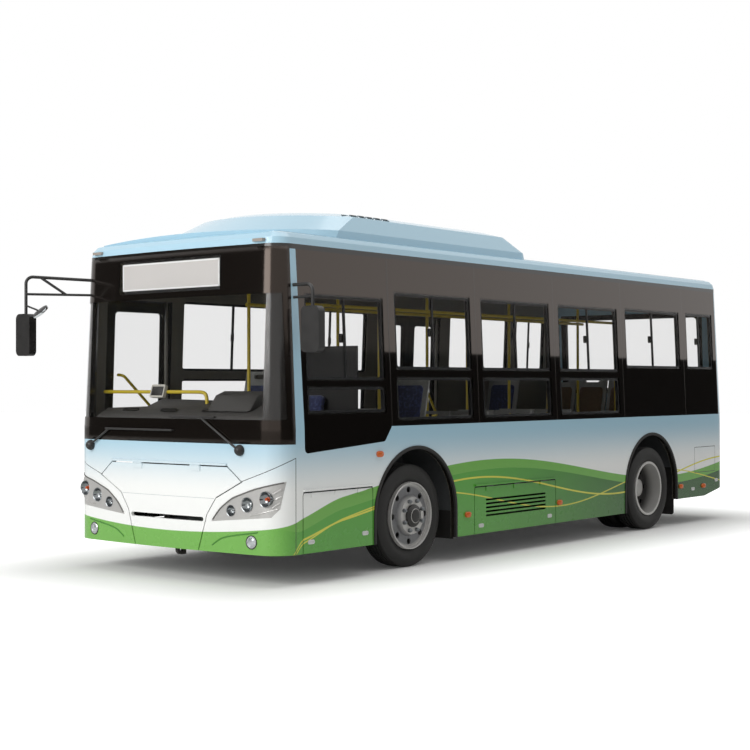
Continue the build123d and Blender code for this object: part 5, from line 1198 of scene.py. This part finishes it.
shell = slab("shell", [Vector((along, 0, up)) for along, up in SEAT_TOP + SEAT_UNDER], (0, SEAT_W, 0), 0.006)
slot_cut = placed(rounded(*HAND_SLOT, 0.02), (-0.3, SEAT_W / 2, HAND_SLOT_Z), (0, 1, 0), (0, 0, 1))
slot_cut = slab("slot", slot_cut, (0.4, 0, 0), 0.002)
cut = shell.modifiers.new("hand_slot", "BOOLEAN")
cut.object = slot_cut
bpy.ops.object.select_all(action="DESELECT")
shell.select_set(True)
bpy.context.view_layer.objects.active = shell
bpy.ops.object.modifier_apply(modifier="hand_slot")
bpy.data.objects.remove(slot_cut)
seat_pad = thinned(stuffed("seat_pad", 0.35, 0.29, 0.016, 0.006), 0.25)
back_pad = thinned(stuffed("back_pad", 0.35, 0.35, 0.016, 0.006), 0.25)
bench_places = [Vector((FRONT_AXLE_X + x, y + step * SEAT_PITCH, floor + BENCH_RISE))
                for x, y, floor, count in BENCHES for step in range(count)]
box_places = [Vector((FRONT_AXLE_X + x, y, BOX_TOP_Z)) for x, y in BOX_SEATS]
BACK_LEAN = math.radians(-12)
upright_pad = Matrix(((0, 0, 1, 0), (1, 0, 0, 0), (0, 1, 0, 0), (0, 0, 0, 1)))
lying = Matrix.Translation((0.215, SEAT_W / 2, 0.066)) @ Matrix.Rotation(math.pi / 2, 4, "Z")
leaning = Matrix.Translation((-0.06, SEAT_W / 2, 0.335)) @ Matrix.Rotation(BACK_LEAN, 4, "Y") @ upright_pad
bench_moves, box_moves = ([Matrix.Translation(at) for at in places] for places in (bench_places, box_places))
seat_pad_copies = copies(seat_pad, [move @ lying for move in bench_moves + box_moves])
back_pad_copies = copies(back_pad, [move @ leaning for move in bench_moves + box_moves])
benched = len(bench_moves)
shells = settle(joined("seat_shells", copies(shell, bench_moves + box_moves)), seat_grey, "body")
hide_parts("passenger_seats")
brown_pads = joined("seat_pads_brown", seat_pad_copies[:benched] + back_pad_copies[:benched])
blue_pads = joined("seat_pads_blue", seat_pad_copies[benched:] + back_pad_copies[benched:])
for pads, cloth in ((brown_pads, brown_cloth), (blue_pads, blue_cloth)):
    settle(pads, cloth, "body")
LEG_DEEP, LEG_INSET, LEG_H, RAIL_H = 0.12, 0.24, 0.34, 0.05
legs = []
for x, y, floor, count in BENCHES:
    width = count * SEAT_PITCH - SEAT_PITCH + SEAT_W
    middle = Vector((FRONT_AXLE_X + x + 0.2, y + width / 2, floor + 0.0005))
    leg = placed(rounded(LEG_DEEP, width - LEG_INSET, 0.01, 2), middle, (1, 0, 0), (0, 1, 0))
    legs.append(slab("leg", leg, (0, 0, LEG_H), 0.006))
    middle.z += LEG_H
    rail = placed(rounded(LEG_DEEP, width, 0.01, 2), middle, (1, 0, 0), (0, 1, 0))
    legs.append(slab("rail", rail, (0, 0, RAIL_H), 0.004))
legs = settle(joined("seat_legs", legs), chassis_enamel, "body")
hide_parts("passenger_seats")
dress(seat_grey, "passenger_seats")

# Driver's seat: two foam cushions in woven cloth, screwed to a sprung base inside moulded
# rubber bellows that stand on the platform.
DRIVER_X = FRONT_AXLE_X + 0.845
DRIVER_Y = 0.6
PLATFORM_Z = 0.56
CUSHION_UP = 0.35
BELLOWS = 6
BELLOWS_SIZE = (0.2, 0.3)
FOLD_OUT = 0.02
dress(blue_cloth, "driver_seat")
cushion = stuffed("driver_cushion", 0.39, 0.44, 0.062, 0.012)
back = stuffed("driver_back", 0.38, 0.52, 0.05, 0.012)
at = Vector((DRIVER_X, DRIVER_Y, PLATFORM_Z + CUSHION_UP))
cushion.matrix_world = Matrix.Translation(at + Vector((0.185, 0, 0.008))) @ Matrix.Rotation(math.pi / 2, 4, "Z")
back.matrix_world = (Matrix.Translation(at + Vector((-0.115, 0, 0.365))) @ Matrix.Rotation(BACK_LEAN, 4, "Y")
                     @ upright_pad)
for pad in (cushion, back):
    settle(pad, blue_cloth, "body")
    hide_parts("driver_seat")
folds = []
fold_h = CUSHION_UP / BELLOWS
bellows_foot = Vector((DRIVER_X + 0.21, DRIVER_Y, PLATFORM_Z + 0.001))
for part, wide in ((0, 0.0), (1, FOLD_OUT)):
    ring = rounded(BELLOWS_SIZE[0] + wide, BELLOWS_SIZE[1] + wide, 0.03)
    ring = slab("fold", placed(ring, (0, 0, 0), (1, 0, 0), (0, 1, 0)), (0, 0, fold_h / 2), 0.006)
    folds += copies(ring, [Matrix.Translation(bellows_foot + Vector((0, 0, (fold + part / 2) * fold_h)))
                           for fold in range(BELLOWS)])
base = settle(joined("driver_seat_base", folds), rubber, "body")
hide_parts("driver_seat")

# Studio: a pale paper floor, an even white surround, black flags, and soft lamps ahead and
# above. The floor is dull and glows white away from the bus; the glow fades out over the bus's footprint, a
# painted shadow under it beside the lamps' own.
WORLD_LIGHT = 0.36
SHADOW_FOOTPRINT = (3.9, 1.0, 0)
SHADOW_EDGE_REACH = 2.2
GLOW_UNDER_AND_AWAY = (0.03, 0.74)
world = bpy.data.worlds.new("studio")
bpy.context.scene.world = world
world.use_nodes = True
tree = world.node_tree
lit = tree.nodes["Background"]
lit.inputs["Color"].default_value = linear("#FFFFFF")
lit.inputs["Strength"].default_value = WORLD_LIGHT
shown = add(tree, "Background", {"Color": linear("#FFFFFF"), "Strength": 1.0})


def seen_by(tree, *kinds):
    """1 for a ray of one of the kinds named."""
    share = 0.0
    for kind in kinds:
        share = add(tree, "Math", {0: share, 1: add(tree, "LightPath", {}, out=kind)}, operation="MAXIMUM")
    return share


in_view = seen_by(tree, "Is Camera Ray", "Is Glossy Ray", "Is Transmission Ray")
either = add(tree, "MixShader", {0: in_view, 1: lit.outputs[0], 2: shown})
tree.links.new(either, tree.nodes["World Output"].inputs["Surface"])
bpy.ops.object.select_all(action="DESELECT")
bpy.ops.mesh.primitive_plane_add(size=120)
floor_sheet = bpy.context.object
floor_sheet.name = "studio_floor"
paper, tree, shader, place = start_material("matt white paper", 0.9)
shader.inputs["Base Color"].default_value = linear("#FAFAF8")
shader.inputs["Emission Color"].default_value = linear("#FFFFFF")
# The glow is least over the bus's footprint and grows away from it: a painted shadow under the bus.
beyond = add(tree, "VectorMath", {0: place}, out="Vector", operation="ABSOLUTE")
beyond = add(tree, "VectorMath", {0: beyond, 1: SHADOW_FOOTPRINT}, out="Vector", operation="SUBTRACT")
beyond = add(tree, "VectorMath", {0: beyond, 1: (0, 0, 0)}, out="Vector", operation="MAXIMUM")
away = add(tree, "VectorMath", {0: beyond}, out="Value", operation="LENGTH")
glow_round_painted_shadow = add(tree, "MapRange", {"Value": away, "From Max": SHADOW_EDGE_REACH, "To Min": GLOW_UNDER_AND_AWAY[0], "To Max": GLOW_UNDER_AND_AWAY[1]},
           interpolation_type="SMOOTHSTEP")
glow_round_painted_shadow = add(tree, "Math", {0: glow_round_painted_shadow, 1: seen_by(tree, "Is Camera Ray", "Is Transmission Ray")}, operation="MULTIPLY")
tree.links.new(glow_round_painted_shadow, shader.inputs["Emission Strength"])
floor_sheet.data.materials.append(paper)
floor_sheet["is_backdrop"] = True

# Black flags stand off to the left and ahead, where only the glass and the lacquer see them.
flag_cloth, _, shader, _ = start_material("black flag cloth", 1.0)
shader.inputs["Base Color"].default_value = linear("#080808")
FLAGS = (
    # name, place, turn, half width, half height
    ("left_flag", (-10, 14, 1.75), 0, 22, 1.75),
    ("front_flag", (12.5, -8, 3), 0.889, 5, 3),
)
for name, at, turn, half_width, half_height in FLAGS:
    bpy.ops.mesh.primitive_plane_add(size=2, location=at, rotation=(math.pi / 2, 0, turn))
    flag = bpy.context.object
    flag.name = name
    flag.scale = (half_width, half_height, 1)
    bpy.ops.object.transform_apply(location=True, rotation=True, scale=True)
    flag.visible_camera = False
    flag.visible_diffuse = False
    flag.visible_shadow = False
    flag.data.materials.append(flag_cloth)
    flag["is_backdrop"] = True
LAMPS = (
    # name, place, aim, size, power
    ("front_softbox", (14, -1, 6), (3, 0, 1.2), 7, 860),
    ("top_softbox", (0, 2, 12), (0, 0, 1), 10, 480),
)
for name, place, aim, size, power in LAMPS:
    bpy.ops.object.light_add(type="AREA", location=place)
    lamp = bpy.context.object
    lamp.name = name
    lamp.data.size = size
    lamp.data.energy = power
    lamp.rotation_euler = (Vector(aim) - Vector(place)).to_track_quat("-Z", "Y").to_euler()

# Camera: a long lens ahead of the left front corner, 1.6 m above the road, on a stand that is
# nearly level.
YAW, PITCH, ROLL = 3.8230, 0.0064, -0.0019
FRAME_PX = 750
FOCAL_PX = 1459.79
bpy.ops.object.camera_add(location=(FRONT_AXLE_X + 10.2469, 9.0864, 1.6191))
camera = bpy.context.object
view = Vector((math.cos(YAW) * math.cos(PITCH), math.sin(YAW) * math.cos(PITCH), math.sin(PITCH)))
camera.rotation_euler = view.to_track_quat("-Z", "Y").to_euler()
camera.rotation_euler.rotate_axis("Z", ROLL)
camera.data.sensor_width = 36
camera.data.lens = camera.data.sensor_width * FOCAL_PX / FRAME_PX
bpy.context.scene.camera = camera
bpy.context.scene.view_settings.view_transform = "Standard"

low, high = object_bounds()
